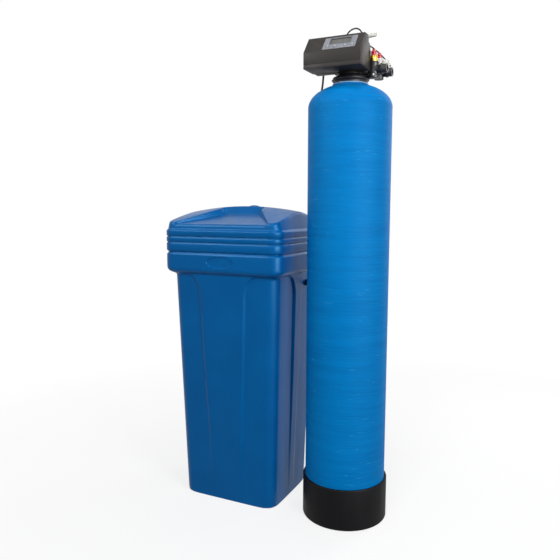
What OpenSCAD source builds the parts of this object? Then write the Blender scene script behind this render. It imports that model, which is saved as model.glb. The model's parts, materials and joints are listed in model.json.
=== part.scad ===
// Water softener: a wound pressure tank with a rotary control head, and a brine tank beside it.
// Millimetres, +Z up. The origin is the pressure tank's axis on the floor; the front faces -Y.

/* [Fits] */
// Gap between fixed pieces that seat on each other's curved faces
seat_gap = 0.2; // [0.1:0.05:0.3]
// Radial clearance of a shaft that turns or slides
run_gap = 0.05; // [0.02:0.01:0.08]
// Clear space between a moving piece and a fixed one
move_gap = 0.4; // [0.3:0.1:0.6]

/* [Pressure tank] */
// Outside diameter of the wound vessel
tank_d = 257; // [245:1:270]
// Height of the vessel's neck above the floor
tank_h = 1372; // [1300:1:1400]
// Height of the top dome above its shoulder
dome_h = 72; // [66:1:80]
// Depth of the bottom dome
low_dome_h = 66; // [60:1:74]
// Thickness of the wound shell
shell_wall = 3.5; // [2.5:0.1:4.5]
// Thickness of the liner
liner_wall = 3.5; // [2.5:0.1:4.5]
// Diameter of the collar at the top of the shell
collar_d = 107; // [102:1:114]
// Outside diameter of the neck insert
neck_ring_d = 92; // [88:1:96]
// Height of the neck insert
neck_ring_h = 38; // [34:1:44]
// Bore of the neck insert
neck_bore_d = 73.4; // [70:0.1:76]
// Wall of the base cup
boot_wall = 7.3; // [5:0.1:10]
// Height of the base cup
boot_h = 132; // [110:1:150]
// Floor of the base cup
boot_floor = 5; // [3:0.5:8]

/* [Inside the tank] */
// Outside diameter of the riser tube
riser_d = 26.7; // [24:0.1:29]
// Wall of the riser tube
riser_wall = 2.3; // [1.5:0.1:3]
// Diameter of the bottom basket
basket_d = 48; // [42:1:56]
// Height of the bottom basket
basket_h = 64; // [50:1:80]
// Diameter of the top strainer
strainer_d = 60; // [50:1:66]
// Height of the top strainer
strainer_h = 40; // [30:1:60]
// Height of the resin above the floor
resin_level = 880; // [600:10:1000]

/* [Valve] */
// Length of the threaded boss in the neck
boss_h = 26; // [20:1:30]
// Diameter of the valve's flange on the neck
flange_d = 115; // [112:0.5:120]
// Height of the flange's widest edge above the neck
flange_h = 12; // [10:0.5:13]
// Height of the shoulder above that edge
flange_shoulder = 6; // [4:0.5:6.5]
// Diameter of the valve's neck above the flange
valve_neck_d = 74; // [70:1:80]
// Width of the valve block
block_w = 96; // [90:1:104]
// Depth of the valve block, front to rear
block_depth = 89; // [84:1:96]
// Height of the valve block above the casing's underside
block_h = 74; // [72:1:78]
// Height of the rotor's axis above the casing's underside
axis_rise = 38; // [36:0.5:40]
// Diameter of the disc chamber
chamber_d = 44; // [42:1:46]
// Depth of the disc chamber
chamber_depth = 58; // [54:1:64]
// Thickness of each disc
disc_h = 6; // [5:0.5:8]
// Diameter of the bonnet that closes the chamber
bonnet_d = 62; // [60:1:64]
// Thickness of the bonnet
bonnet_h = 9; // [7:0.5:10]
// Diameter of the rotor shaft
shaft_d = 16; // [14:0.5:18]

/* [Drive] */
// Module of the gear teeth
gear_module = 1.5; // [1.4:0.05:1.6]
// Teeth of the drive gear
gear_teeth = 40; // [36:1:42]
// Teeth of the motor pinion
pinion_teeth = 14; // [13:1:16]
// Face width of the gears
gear_h = 8; // [6:0.5:9]
// Play left between the teeth
backlash = 0.25; // [0.15:0.05:0.35]
// Diameter of the motor
motor_d = 36; // [30:1:38]
// Length of the motor
motor_len = 42; // [36:1:46]
// Thickness of the gear plate
plate_h = 3; // [2:0.5:4]

/* [Casing] */
// Width of the casing
head_w = 175; // [168:1:190]
// Distance of the casing's left end from the tank's axis
head_left = 105; // [100:1:112]
// Distance of the casing's front from the tank's axis
head_front = 120; // [116:1:128]
// Depth of the front cover
cover_depth = 75; // [72:1:78]
// Depth of the rear housing
housing_depth = 30; // [29:0.5:32]
// Height of the casing's underside above the tank's neck
head_lift = 30; // [28:1:34]
// Height of the upright front face
front_h = 46; // [42:1:50]
// Rise of the sloping panel
slope_rise = 49; // [46:1:54]
// Run of the sloping panel
slope_run = 40; // [37:1:43]
// Wall of the casing
case_wall = 2.5; // [2:0.1:3]
// Step from the cover's ends to the housing's ends
housing_inset = 4; // [3:0.5:6]
// Height of the rear housing
housing_h = 79; // [78:1:84]

/* [Control panel] */
// Width of the grey overlay
overlay_w = 100; // [96:1:106]
// Height of the grey overlay
overlay_h = 50; // [46:1:52]
// Thickness of the overlay
overlay_t = 0.8; // [0.5:0.1:1.2]
// Offset of the overlay from the tank's axis
overlay_x = 2; // [-4:1:6]
// Width of the display window
window_w = 60; // [54:1:64]
// Height of the display window
window_h = 22; // [18:1:24]
// Diameter of a button
button_d = 8; // [7:0.5:9]
// Travel of a button
button_travel = 1; // [0.6:0.1:1.2]

/* [Bypass] */
// Height of the ports above the tank's neck
port_rise = 38; // [36:1:42]
// Spacing of the two ports
port_pitch = 56; // [52:1:60]
// Distance of the front port behind the tank's axis
port_front = 2; // [0:0.5:6]
// Distance of the tap barrels from the tank's axis
tap_x = 72; // [71:1:76]
// Diameter of a tap barrel
barrel_d = 28; // [27:0.5:30]
// Diameter of a tap plug
plug_d = 21; // [19:0.5:22]
// Diameter of the pipe thread on each stub
stub_d = 26.4; // [25:0.1:27]
// Length of the pipe thread on each stub
stub_thread = 14; // [11:1:18]
// Reach of the stubs from the tank's axis
stub_x = 114; // [112:1:120]
// Bore of the water passages
flow_d = 16; // [14:0.5:17]
// Diameter of a tap's stem
stem_d = 10; // [8:0.5:11]

/* [Brine tank] */
// Clear space between the brine tank's rim and the pressure tank
brine_gap = 38; // [30:1:60]
// Distance of the brine tank's centre behind the tank's axis
brine_y = 33.5; // [20:0.5:50]
// Width at the foot
foot_w = 346; // [330:1:360]
// Depth at the foot
foot_depth = 286; // [275:1:295]
// Width under the rim
top_w = 390; // [380:1:400]
// Depth under the rim
top_depth = 330; // [320:1:340]
// Height of the body under the rim
body_h = 780; // [740:1:820]
// Overhang of the rim past the body
rim_over = 22.5; // [18:0.5:26]
// Height of the rim
rim_h = 72; // [66:1:80]
// Radius of the upright corners
corner_r = 36; // [30:1:42]
// Thickness of the wall
brine_wall = 5; // [4:0.5:6]
// How far the middle panels stand proud
panel_proud = 7; // [5:0.5:9]

/* [Brine lid] */
// Height of the ribbed skirt
skirt_h = 69; // [63:1:75]
// Rise of the crowned top above the skirt
crown_h = 82; // [76:1:88]
// Thickness of the lid
lid_wall = 4; // [3:0.5:5]
// Depth of the grooves round the skirt
groove = 3.5; // [2:0.5:4]
// Width of the hand recess at its back
recess_w = 156; // [140:2:170]

/* [Inside the brine tank] */
// Outside diameter of the brine well
well_d = 100; // [92:1:104]
// Wall of the brine well
well_wall = 2.5; // [2:0.1:3]
// Distance of the brine well's top below the top of the rim
well_drop = 20; // [16:1:40]
// Height of the salt grid above the tank's floor
grid_rise = 114; // [90:1:130]
// Thickness of the salt grid
grid_h = 6; // [4:0.5:8]
// Distance of the brine line's way in below the rim
line_drop = 40; // [36:1:60]
// Diameter of the float
float_d = 34; // [30:1:35]
// Height of the float
float_h = 100; // [80:1:120]
// Diameter of the check ball
ball_d = 19; // [17:0.5:20]

/* [Cords] */
// Diameter of the brine tube
brine_tube_d = 6.35; // [6:0.05:6.5]
// Diameter of the sensor cable
cable_d = 4.5; // [4:0.1:5.2]

/* [Hidden] */
$fn = 72;

// A cut runs this far past the face that it opens
past = 1;

// Pressure tank
tank_r = tank_d / 2;
collar_r = collar_d / 2;
neck_r = neck_ring_d / 2;
neck_bore_r = neck_bore_d / 2;
base_z = boot_floor + seat_gap;
low_z = base_z + low_dome_h;
shoulder_z = tank_h - dome_h;
liner_r = tank_r - shell_wall - seat_gap;
liner_cut = shell_wall + seat_gap;
inner_r = liner_r - liner_wall;
inner_cut = liner_cut + liner_wall;
inner_floor = base_z + inner_cut;
riser_r = riser_d / 2;
riser_top = tank_h + 10;
basket_foot = 8;
basket_low = inner_floor + basket_foot;
slot_step = 6;
slot_w = 2;

// Valve and head
head_z = tank_h + head_lift;
axis_z = head_z + axis_rise;
block_front = -head_front + cover_depth + housing_depth;
block_rear = block_front + block_depth;
block_top = head_z + block_h;
chamber_back = block_front + chamber_depth;
shaft_r = shaft_d / 2;
tip_r = shaft_r - 3;
head_x0 = -head_left;
head_x1 = head_w - head_left;
cover_back = -head_front + cover_depth;
slope_z = head_z + front_h;
head_top = slope_z + slope_rise;
slope_a = atan2(slope_rise, slope_run);
cover_chamfer = [6, 7];
housing_x0 = head_x0 + housing_inset;
housing_x1 = head_x1 - housing_inset;
housing_top = head_z + housing_h;
housing_chamfer = 10;
screw_circle = bonnet_d / 2 - 4;
screw_angles = [45, 135, 225, 315];
jack_y = (cover_back + block_front) / 2 - 3;
jack_z = head_z + 22;
jack_r = 5.5;

// Drive
gear_r = gear_module * gear_teeth / 2;
pinion_r = gear_module * pinion_teeth / 2;
gear_gap = gear_r + pinion_r + backlash / 2;
gear_back = block_front - bonnet_h - 7;
gear_front = gear_back - gear_h;
plate_back = gear_front - 3;
motor_shaft_r = 3;
post_r = 5;
post_side = gear_r + 15;
post_left = -gear_gap - pinion_r - 22;
post_rise = axis_rise - 12;

// Control panel, measured along the slope and out of it
overlay_v = -2.5;
window_v = 6.5;
button_v = -16;
button_xs = [for (x = [-35, -13, 19, 40]) overlay_x + x];
button_flange = 1.5;
board_n = -9;
board_h = 1.6;
board_w = overlay_w + 8;
board_v = overlay_h - 4;
switch_n = -case_wall - button_flange - button_travel - 2 * move_gap;

// Bypass
port_z = tank_h + port_rise;
tap_ys = [port_front, port_front + port_pitch];
barrel_r = barrel_d / 2;
barrel_low = port_z - 20;
barrel_top = port_z + 22;
plug_low = port_z - 15;
plug_r = plug_d / 2;
plug_top = barrel_top - 3;
spigot_r = 12.5;
spigot_x0 = block_w / 2 - 1;
socket_x1 = block_w / 2 + 5;
boss_r = 16;
boss_x0 = valve_neck_d / 2 - 4;
flow_r = flow_d / 2;
stub_r = stub_d / 2;
stem_r = stem_d / 2;
gland_h = [17, 20];
gland_r = [11.5, 12.5];
handle_z = [barrel_top + gland_h[0] + move_gap, barrel_top + gland_h[1] + move_gap];
grip_h = 17;
foot_low = tank_h + flange_h + 2 * seat_gap;
cap_r = 12.5;
cap_z = port_z + stub_r + cap_r + 1.3;
collar_over = 1.2;
cap_x0 = tap_x + barrel_r + collar_over + 2 * move_gap;
cap_len = 14;
cap_mid = cap_x0 + cap_len / 2;
sensor_r = 5;
turbine_r = flow_r - 0.6;
turbine_x = stub_x - stub_thread;
screw_r = 1.5;
screw_head_r = 3.4;
screw_head_h = 2.2;
foot_over = 2.5;
side_screw = [tap_x + 4, tap_ys[0] - barrel_r - foot_over - screw_head_h, barrel_low + 2];
ring_r = 1.15;

// Brine tank
rim_w = top_w + 2 * rim_over;
rim_depth = top_depth + 2 * rim_over;
rim_z = body_h + rim_h;
brine_x = -(tank_r + brine_gap + rim_w / 2);
draft_x = atan((top_w - foot_w) / 2 / body_h);
draft_y = atan((top_depth - foot_depth) / 2 / body_h);
lid_low = rim_z + move_gap;
lid_edge = lid_low + skirt_h;
rim_wall = 6;
floor_h = 6;
well_r = well_d / 2;
well_x = foot_w / 2 - brine_wall - well_r - 6;
well_y = foot_depth / 2 - brine_wall - well_r - 9.5;
well_top = rim_z - well_drop;
well_h = well_top - floor_h;
line_z = body_h - line_drop;
wall_x = foot_w / 2 + (top_w - foot_w) / 2 * line_z / body_h;
pipe_r = 6;
float_r = float_d / 2;
float_off = float_r + pipe_r + 3;
rod_r = 2.5;
float_z = 400;
arm_z = line_z - 40;
arm_h = 20;
guide_z = 110;
ball_r = ball_d / 2;
cage_r = ball_r + 7;
grid_z = floor_h + grid_rise;
overflow_z = body_h - 80;
overflow_x = -110;
overflow_y = foot_depth / 2 + (top_depth - foot_depth) / 2 * overflow_z / body_h;
overflow_spigot = 18;
gland_shank_r = 7;
overflow_shank_r = 8;
gland_nut_r = 11;
overflow_nut_r = 13;
nut_h = 5;
gland_gap = gland_nut_r * tan(draft_x) + seat_gap;
overflow_gap = overflow_nut_r * tan(draft_y) + seat_gap;
// Half-widths of the middle panels at the foot, at the knee and under the rim
front_panel = [48, 80, 120];
side_panel = [14, 24, 70];
panel_knee = 75;

// Brine tube: it hangs from the nut on the valve, then turns in to the gland of the brine tank
brine_end = [-101, 30, head_z + 22];
gland_nose = [brine_x + wall_x + 18, brine_y + well_y, line_z];
brine_down = [[0, 0, 0], [0, 0, -12], [-1, 0, -26], [-3, 1, -42], [-7, 4, -58], [-11, 10, -74],
    [-15, 18, -91], [-19, 27, -108], [-21, 35, -126], [-23, 43, -145], [-23, 50, -164], [-23, 56, -184],
    [-23, 61, -206], [-23, 65, -229], [-23, 68, -254], [-23, 71, -279], [-23, 74, -306], [-23, 76, -334],
    [-23, 78, -364], [-23, 79, -394], [-23, 80, -424], [-23, 81, -454], [-23, 81, -484]];
brine_in = [[48, -1, 170], [48, 0, 140], [48, 0, 115], [48, 0, 92], [48, 0, 72], [47, 0, 55], [45, 0, 40],
    [41, 0, 27], [35, 0, 16], [26, 0, 8], [17, 0, 3], [9, 0, 0.5], [4, 0, 0], [0, 0, 0]];
brine_route = concat([for (p = brine_down) brine_end + p], [for (p = brine_in) gland_nose + p]);

// Sensor cable: it arches out of the casing's top, runs back over the valve and drops to the meter
cable_at = [-4, -35, head_top - 6];
sensor_end = [cap_mid, tap_ys[1] + 28, cap_z];
cable_out = [[0, 0, 0], [0, 0, 8], [2, 0, 15], [6, -1, 21], [12, -2, 26], [19, -3, 29.5], [27, -3, 31.5],
    [35, -3, 31], [42, -2, 27.5], [47, 1, 21.5], [50, 6, 14], [52, 14, 7.5], [53, 25, 3], [53, 39, 0],
    [52, 54, -2], [52, 68, -3], [53, 82, -3], [56, 95, -5], [60, 108, -9], [65, 120, -13], [68, 132, -17]];
cable_in = [[-29, 21, 35], [-25, 29, 30], [-19, 34, 23], [-13, 35, 15], [-7, 31, 8], [-2, 23, 3],
    [0, 13, 0], [0, 0, 0]];
cable_route = concat([for (p = cable_out) cable_at + p], [for (p = cable_in) sensor_end + p]);

// Drain and brine fittings of the valve
drain_at = [26, 20];
drain_boss_h = 8;
drain_z = block_top + 39;
drain_x1 = 72;
drain_r = 6.5;
drain_tube_r = 7;
drain_tip = 12;
rib_r = 8;
rib_step = 4;
brine_down_x = brine_end[0];
brine_at_y = brine_end[1];
brine_at_z = head_z + 50;
brine_boss = 8;
brine_nut_h = 10;
nut_top = brine_end[2] + brine_nut_h;

// A rectangle with round corners, centred
module rrect(w, d, r) {
    square([w - 2 * r, d], center = true);
    square([w, d - 2 * r], center = true);
    for (sx = [-1, 1], sy = [-1, 1])
        translate([sx * (w / 2 - r), sy * (d / 2 - r)]) circle(r);
}

// A thin rounded slab, for blending with others
module slab(w, d, r, z) {
    translate([0, 0, z]) linear_extrude(0.5) rrect(w, d, r, $fn = 32);
}

module prism(w, d, r, z0, z1) {
    translate([0, 0, z0]) linear_extrude(z1 - z0) rrect(w, d, r);
}

// Cylinders that run along +X, +Y and +Z from a point
module rod_x(p, r, len) {
    translate(p) rotate([0, 90, 0]) cylinder(r = r, h = len);
}

module rod_y(p, r, len) {
    translate(p) rotate([-90, 0, 0]) cylinder(r = r, h = len);
}

module rod_z(p, r, len) {
    translate(p) cylinder(r = r, h = len);
}

// An outline drawn in Y and Z, pulled along X
module along_x(x0, x1) {
    translate([x0, 0, 0]) rotate([90, 0, 90]) linear_extrude(x1 - x0) children();
}

// Puts a shape on the sloping panel: X across, Y up the slope, Z out of it
module on_slope() {
    translate([0, -head_front + slope_run / 2, slope_z + slope_rise / 2])
        rotate([slope_a, 0, 0]) children();
}

module at_brine() {
    translate([brine_x, brine_y, 0]) children();
}

module at_well() {
    translate([brine_x + well_x, brine_y + well_y, 0]) children();
}

module ring(major, minor) {
    rotate_extrude() translate([major, 0]) circle(minor, $fn = 32);
}

// Points along an elliptical dome from one angle to another
function dome(r, h, z, a0, a1, n = 16) =
    [for (i = [0 : n]) let (a = a0 + (a1 - a0) * i / n) [r * cos(a), z + h * sin(a)]];

// Where the dome's outline passes a radius
function dome_angle(radius, r) = acos(radius / r);

// A tube swept along points, as rings that are carried along without twist
function unit(v) = v / norm(v);
function tangent(p, i) = unit(p[min(i + 1, len(p) - 1)] - p[max(i - 1, 0)]);
function carried(p, i, n) =
    i == len(p) ? [] :
    let (t = tangent(p, i), m = unit(n - t * (n * t))) concat([m], carried(p, i + 1, m));

module tube(p, d, sides, start_normal) {
    normals = carried(p, 0, start_normal);
    points = [for (i = [0 : len(p) - 1], k = [0 : sides - 1])
        let (t = tangent(p, i), a = 360 * k / sides)
        p[i] + d / 2 * (cos(a) * normals[i] + sin(a) * cross(t, normals[i]))];
    last = (len(p) - 1) * sides;
    walls = [for (i = [0 : len(p) - 2], k = [0 : sides - 1])
        let (a = i * sides + k, b = i * sides + (k + 1) % sides)
        each [[a, a + sides, b + sides], [a, b + sides, b]]];
    caps = [[for (k = [0 : sides - 1]) k], [for (k = [0 : sides - 1]) last + sides - 1 - k]];
    polyhedron(points, concat(walls, caps));
}

// Involute gear outline, with a tooth pointing along +X
function involute(rb, r) = let (a = acos(min(1, rb / r))) tan(a) * 180 / PI - a;

function gear_outline(teeth) =
    let (rp = gear_module * teeth / 2, rb = rp * cos(20), ra = rp + 0.9 * gear_module,
        rr = rp - 1.2 * gear_module, r0 = max(rb, rr + 0.05),
        half = 90 / teeth - backlash * 90 / (PI * rp) / 2 + involute(rb, rp))
    [for (i = [0 : teeth - 1], s = [-1, 1], j = [0 : 3])
        let (k = s < 0 ? j : 3 - j, r = [rr, r0, rp, ra][k],
            a = 360 * i / teeth + s * (half - involute(rb, max(r, r0))))
        [r * cos(a), r * sin(a)]];

// Pressure tank

module tank_shell() {
    color("dodgerblue") rotate_extrude($fn = 128)
        polygon(concat(
            dome(tank_r, low_dome_h, low_z, -90, 0),
            dome(tank_r, dome_h, shoulder_z, 0, dome_angle(collar_r, tank_r)),
            [[collar_r, tank_h], [neck_r + seat_gap, tank_h]],
            dome(tank_r - shell_wall, dome_h - shell_wall, shoulder_z,
                dome_angle(neck_r + seat_gap, tank_r - shell_wall), 0),
            dome(tank_r - shell_wall, low_dome_h - shell_wall, low_z, 0, -90)));
}

module tank_liner() {
    color("ivory") rotate_extrude($fn = 128)
        polygon(concat(
            dome(liner_r, low_dome_h - liner_cut, low_z, -90, 0),
            dome(liner_r, dome_h - liner_cut, shoulder_z, 0, dome_angle(neck_r + seat_gap, liner_r)),
            dome(inner_r, dome_h - inner_cut, shoulder_z, dome_angle(neck_r + seat_gap, inner_r), 0),
            dome(inner_r, low_dome_h - inner_cut, low_z, 0, -90)));
}

module neck_ring() {
    lip_r = neck_r + 10;
    lip_z = shoulder_z + (dome_h - inner_cut) * sin(dome_angle(lip_r, inner_r)) - 2 * seat_gap;
    color("gray") rotate_extrude()
        polygon([[neck_bore_r, tank_h], [neck_r, tank_h], [neck_r, lip_z], [lip_r, lip_z],
            [lip_r, lip_z - 6], [neck_r, lip_z - 8], [neck_r, tank_h - neck_ring_h],
            [neck_bore_r, tank_h - neck_ring_h]]);
}

module tank_boot() {
    r = tank_r + seat_gap + boot_wall;
    color("#181818") rotate_extrude($fn = 128)
        polygon([[0, 0], [r - 4, 0], [r - 1, 1.5], [r, 5], [r, boot_h - 4], [r - 3, boot_h],
            [tank_r + seat_gap, boot_h], [tank_r + seat_gap, boot_floor], [0, boot_floor]]);
}

module riser_tube() {
    color("white") translate([0, 0, basket_low + basket_h - 20]) difference() {
        cylinder(r = riser_r, h = riser_top - basket_low - basket_h + 20);
        translate([0, 0, -past])
            cylinder(r = riser_r - riser_wall, h = riser_top - basket_low - basket_h + 20 + 2 * past);
    }
}

module slotted(r, h, depth) {
    for (z = [slot_step : slot_step : h - slot_step])
        translate([0, 0, z]) difference() {
            cylinder(r = r + past, h = slot_w);
            translate([0, 0, -past]) cylinder(r = r - depth, h = slot_w + 2 * past);
        }
}

module bottom_distributor() {
    color("lightgray") translate([0, 0, basket_low]) difference() {
        union() {
            cylinder(d = basket_d, h = basket_h);
            translate([0, 0, seat_gap - basket_foot]) cylinder(r = basket_foot, h = basket_foot);
        }
        translate([0, 0, basket_h - 20]) cylinder(r = riser_r + seat_gap, h = 20 + past);
        translate([0, 0, 4]) cylinder(r = riser_r - riser_wall, h = basket_h);
        slotted(basket_d / 2, basket_h - 20, 3);
    }
}

module top_strainer() {
    color("lightgray") translate([0, 0, tank_h - boss_h - strainer_h]) difference() {
        cylinder(d = strainer_d, h = strainer_h);
        translate([0, 0, -past]) cylinder(r = riser_r + seat_gap, h = strainer_h + 2 * past);
        slotted(strainer_d / 2, strainer_h, 4);
    }
}

module resin_bed() {
    r = inner_r - seat_gap;
    color("sandybrown") difference() {
        rotate_extrude($fn = 128)
            polygon(concat(dome(r, low_dome_h - inner_cut - seat_gap, low_z, -90, 0),
                [[r, resin_level], [0, resin_level]]));
        cylinder(r = basket_d / 2 + seat_gap, h = basket_low + basket_h + seat_gap);
        cylinder(r = riser_r + seat_gap, h = resin_level + past);
    }
}

// Valve

// Flange on the tank's neck, drawn in over a shoulder to the valve's own neck
module valve_foot() {
    edge = flange_d / 2;
    neck = valve_neck_d / 2;
    translate([0, 0, tank_h]) rotate_extrude()
        polygon([[0, 0], [edge - 6, 0], [edge - 5, flange_h - 7], [edge - 1, flange_h - 3],
            [edge, flange_h - 1.5], [edge, flange_h - 0.5], [edge - 2.5, flange_h],
            [edge - 4, flange_h + flange_shoulder], [neck + 4, head_lift - 8],
            [neck, head_lift - 3.5], [neck, head_lift], [0, head_lift]]);
}

module valve_body() {
    color("#202020") difference() {
        union() {
            rod_z([0, 0, tank_h - boss_h], neck_bore_r - 2 * seat_gap, boss_h + past);
            valve_foot();
            translate([0, (block_front + block_rear) / 2, 0])
                prism(block_w, block_depth, 6, head_z, block_top);
            for (y = tap_ys) rod_x([boss_x0, y, port_z], boss_r, socket_x1 - boss_x0);
            rod_z([drain_at[0], drain_at[1], block_top - past], 11, drain_boss_h + past);
            rod_x([-block_w / 2 - brine_boss, brine_at_y, brine_at_z], 10, 10 + brine_boss);
            // Blind caps on the rear, over the injector and the refill control
            rod_y([-24, block_rear - past, axis_z], 13, 11 + past);
            rod_y([24, block_rear - past, axis_z], 15, 7 + past);
        }
        rod_z([0, 0, tank_h - boss_h - past], riser_r + seat_gap,
            riser_top + seat_gap - tank_h + boss_h + past);
        rod_z([0, 0, tank_h], flow_r, axis_rise + head_lift);
        rod_y([0, block_front - past, axis_z], chamber_d / 2, chamber_depth + past);
        for (y = tap_ys) {
            rod_x([0, y, port_z], flow_r, socket_x1 + past);
            rod_x([spigot_x0, y, port_z], spigot_r + seat_gap, socket_x1);
        }
        rod_z([drain_at[0], drain_at[1], axis_z], 4, block_h);
        rod_z([drain_at[0], drain_at[1], block_top - 4], drain_r + seat_gap, block_h);
        rod_x([-block_w / 2 - brine_boss - past, brine_at_y, brine_at_z], 6 + seat_gap, 16);
        rod_x([-block_w / 2, brine_at_y, brine_at_z], 3, block_w / 2);
        rotate_extrude() translate([neck_r - 6.5, tank_h - past]) square([5, 5 + past]);
        for (a = screw_angles)
            translate([0, 0, axis_z]) rotate([0, a, 0])
                rod_y([screw_circle, block_front - past, 0], screw_r + seat_gap, 12);
    }
}

module valve_bonnet() {
    color("#2a2a2a") translate([0, 0, axis_z]) difference() {
        rod_y([0, block_front - bonnet_h, 0], bonnet_d / 2, bonnet_h);
        rod_y([0, block_front - bonnet_h - past, 0], shaft_r + run_gap, bonnet_h + 2 * past);
        rod_y([0, block_front - 4, 0], shaft_r + 3, 4 + past);
        for (a = screw_angles)
            rotate([0, a, 0]) rod_y([screw_circle, block_front - bonnet_h - past, 0], screw_r + seat_gap,
                bonnet_h + 2 * past);
    }
}

// O-rings: under the flange, behind the bonnet and on both bypass spigots
module seal_rings() {
    color("#101010") {
        translate([0, 0, tank_h + 2.4]) ring(neck_r - 4, 2.2);
        translate([0, block_front - 2, axis_z]) rotate([90, 0, 0]) ring(shaft_r + 1.6, 1.3);
        for (y = tap_ys)
            translate([spigot_x0 + 3, y, port_z]) rotate([0, 90, 0]) ring(spigot_r - ring_r, ring_r);
    }
}

// A pan-head screw along +Y, with its head's face at the front
module pan_screw(len) {
    rod_y([0, 0, 0], screw_head_r, screw_head_h);
    rod_y([0, screw_head_h - 0.5, 0], screw_r, len);
}

module steel_screws() {
    color("silver") {
        for (a = screw_angles)
            translate([0, block_front - bonnet_h - screw_head_h, axis_z]) rotate([0, a, 0])
                translate([screw_circle, 0, 0]) pan_screw(bonnet_h + 8);
        translate(side_screw) pan_screw(5);
    }
}

module fixed_disc() {
    r = chamber_d / 2 - 1;
    color("whitesmoke") difference() {
        rod_y([0, chamber_back - disc_h, axis_z], r, disc_h);
        for (a = [0 : 60 : 300])
            translate([0, chamber_back - disc_h - past, axis_z]) rotate([0, a, 0])
                rod_y([r * 0.62, 0, 0], 4, disc_h + 2 * past);
    }
}

module moving_disc() {
    r = chamber_d / 2 - 2;
    y0 = chamber_back - 2 * disc_h - move_gap;
    color("gainsboro") difference() {
        rod_y([0, y0, axis_z], r, disc_h);
        for (a = [20, 140])
            translate([0, y0 - past, axis_z]) rotate([0, a, 0])
                rod_y([r * 0.62, 0, 0], 5, disc_h + 2 * past);
    }
}

module rotor_shaft() {
    back = chamber_back - 2 * disc_h - move_gap;
    color("lightgray") {
        rod_y([0, gear_front - 1, axis_z], shaft_r, back - gear_front + 1);
        rod_y([0, back - 5, axis_z], chamber_d / 2 - 6, 5);
        rod_y([0, plate_back - plate_h, axis_z], tip_r, gear_front - plate_back + plate_h);
    }
}

// Drive

module drive_gear() {
    color("ivory") difference() {
        union() {
            translate([0, gear_back, axis_z]) rotate([90, 0, 0])
                linear_extrude(gear_h) rotate(180) polygon(gear_outline(gear_teeth));
            rod_y([0, gear_back - past, axis_z], shaft_r + 5, 5 + past);
        }
        rod_y([0, gear_front - past, axis_z], shaft_r + run_gap, gear_h + 5 + 3 * past);
        for (a = [30 : 60 : 330])
            translate([0, gear_front - past, axis_z]) rotate([0, a, 0])
                rod_y([gear_r * 0.68, 0, 0], 4.5, gear_h + 2 * past);
    }
}

module motor_pinion() {
    color("goldenrod") translate([-gear_gap, 0, axis_z]) {
        translate([0, gear_back, 0]) rotate([90, 0, 0])
            linear_extrude(gear_h) rotate(180 / pinion_teeth) polygon(gear_outline(pinion_teeth));
        rod_y([0, plate_back - plate_h - 14, 0], motor_shaft_r,
            gear_front - plate_back + plate_h + 14 + past);
    }
}

module drive_motor() {
    color("silver") translate([-gear_gap, plate_back - plate_h - motor_len, axis_z]) difference() {
        union() {
            rod_y([0, 0, 0], motor_d / 2, motor_len);
            rod_y([0, -4, 0], motor_d / 2 - 8, 5);
        }
        rod_y([0, motor_len - 15, 0], motor_shaft_r + run_gap, 15 + past);
    }
}

module gear_plate() {
    w = post_side - post_left + 2 * post_r + 2;
    h = 2 * post_rise + 2 * post_r + 2;
    color("#3a3a3a") difference() {
        translate([(post_side + post_left) / 2, plate_back, axis_z]) rotate([90, 0, 0])
            linear_extrude(plate_h) rrect(w, h, post_r);
        rod_y([0, plate_back - plate_h - past, axis_z], tip_r + run_gap, plate_h + 2 * past);
        rod_y([-gear_gap, plate_back - plate_h - past, axis_z], motor_shaft_r + move_gap,
            plate_h + 2 * past);
    }
}

// Casing

// Outline of the rear housing from its front edge back, set in by a wall
module housing_outline(inset, front) {
    back = block_front - inset;
    polygon([[front, head_z + inset], [back, head_z + inset], [back, housing_top - housing_chamfer],
        [back - housing_chamfer + inset / 2, housing_top - inset], [front, housing_top - inset]]);
}

module rear_housing() {
    color("#2c2927") {
        difference() {
            along_x(housing_x0, housing_x1) housing_outline(0, cover_back);
            along_x(housing_x0 + case_wall, housing_x1 - case_wall)
                housing_outline(case_wall, cover_back - past);
            rod_y([0, block_front - case_wall - past, axis_z], bonnet_d / 2 + seat_gap,
                case_wall + 2 * past);
            rod_z([cable_at[0], cable_at[1], housing_top - case_wall - past], 4 + seat_gap,
                case_wall + 2 * past);
            rod_x([housing_x0 - past, jack_y, jack_z], jack_r + seat_gap, case_wall + 2 * past);
        }
        for (x = [post_left, post_side], s = [-1, 1])
            rod_y([x, plate_back, axis_z + s * post_rise], post_r,
                block_front - case_wall - plate_back + 0.5);
    }
}

module power_jack() {
    x0 = housing_x0 - 1.5;
    color("#111111") {
        difference() {
            union() {
                rod_x([x0, jack_y, jack_z], jack_r + 2, 1.5);
                rod_x([x0, jack_y, jack_z], jack_r, 13);
            }
            rod_x([x0 - past, jack_y, jack_z], 3.1, 10 + past);
        }
        rod_x([x0 + 1, jack_y, jack_z], 1.05, 10);
    }
}

module cable_gland() {
    color("#111111") {
        rod_z([cable_at[0], cable_at[1], housing_top - case_wall], 4, case_wall + past);
        rod_z([cable_at[0], cable_at[1], housing_top], 7, 3);
        translate([cable_at[0], cable_at[1], housing_top + 3])
            cylinder(r1 = 5.5, r2 = 3.4, h = cable_at[2] - housing_top - 3);
    }
}

// Outline of the front cover's side, set in by a wall
module cover_outline(inset) {
    back = cover_back - inset;
    front = -head_front + inset;
    top = head_top - inset;
    low = slope_z + inset * tan(slope_a) - inset / cos(slope_a);
    high = front + (top - low) * slope_run / slope_rise;
    polygon([[back, head_z + inset], [front, head_z + inset], [front, low], [high, top],
        [back - cover_chamfer[0], top], [back, top - cover_chamfer[1]]]);
}

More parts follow.
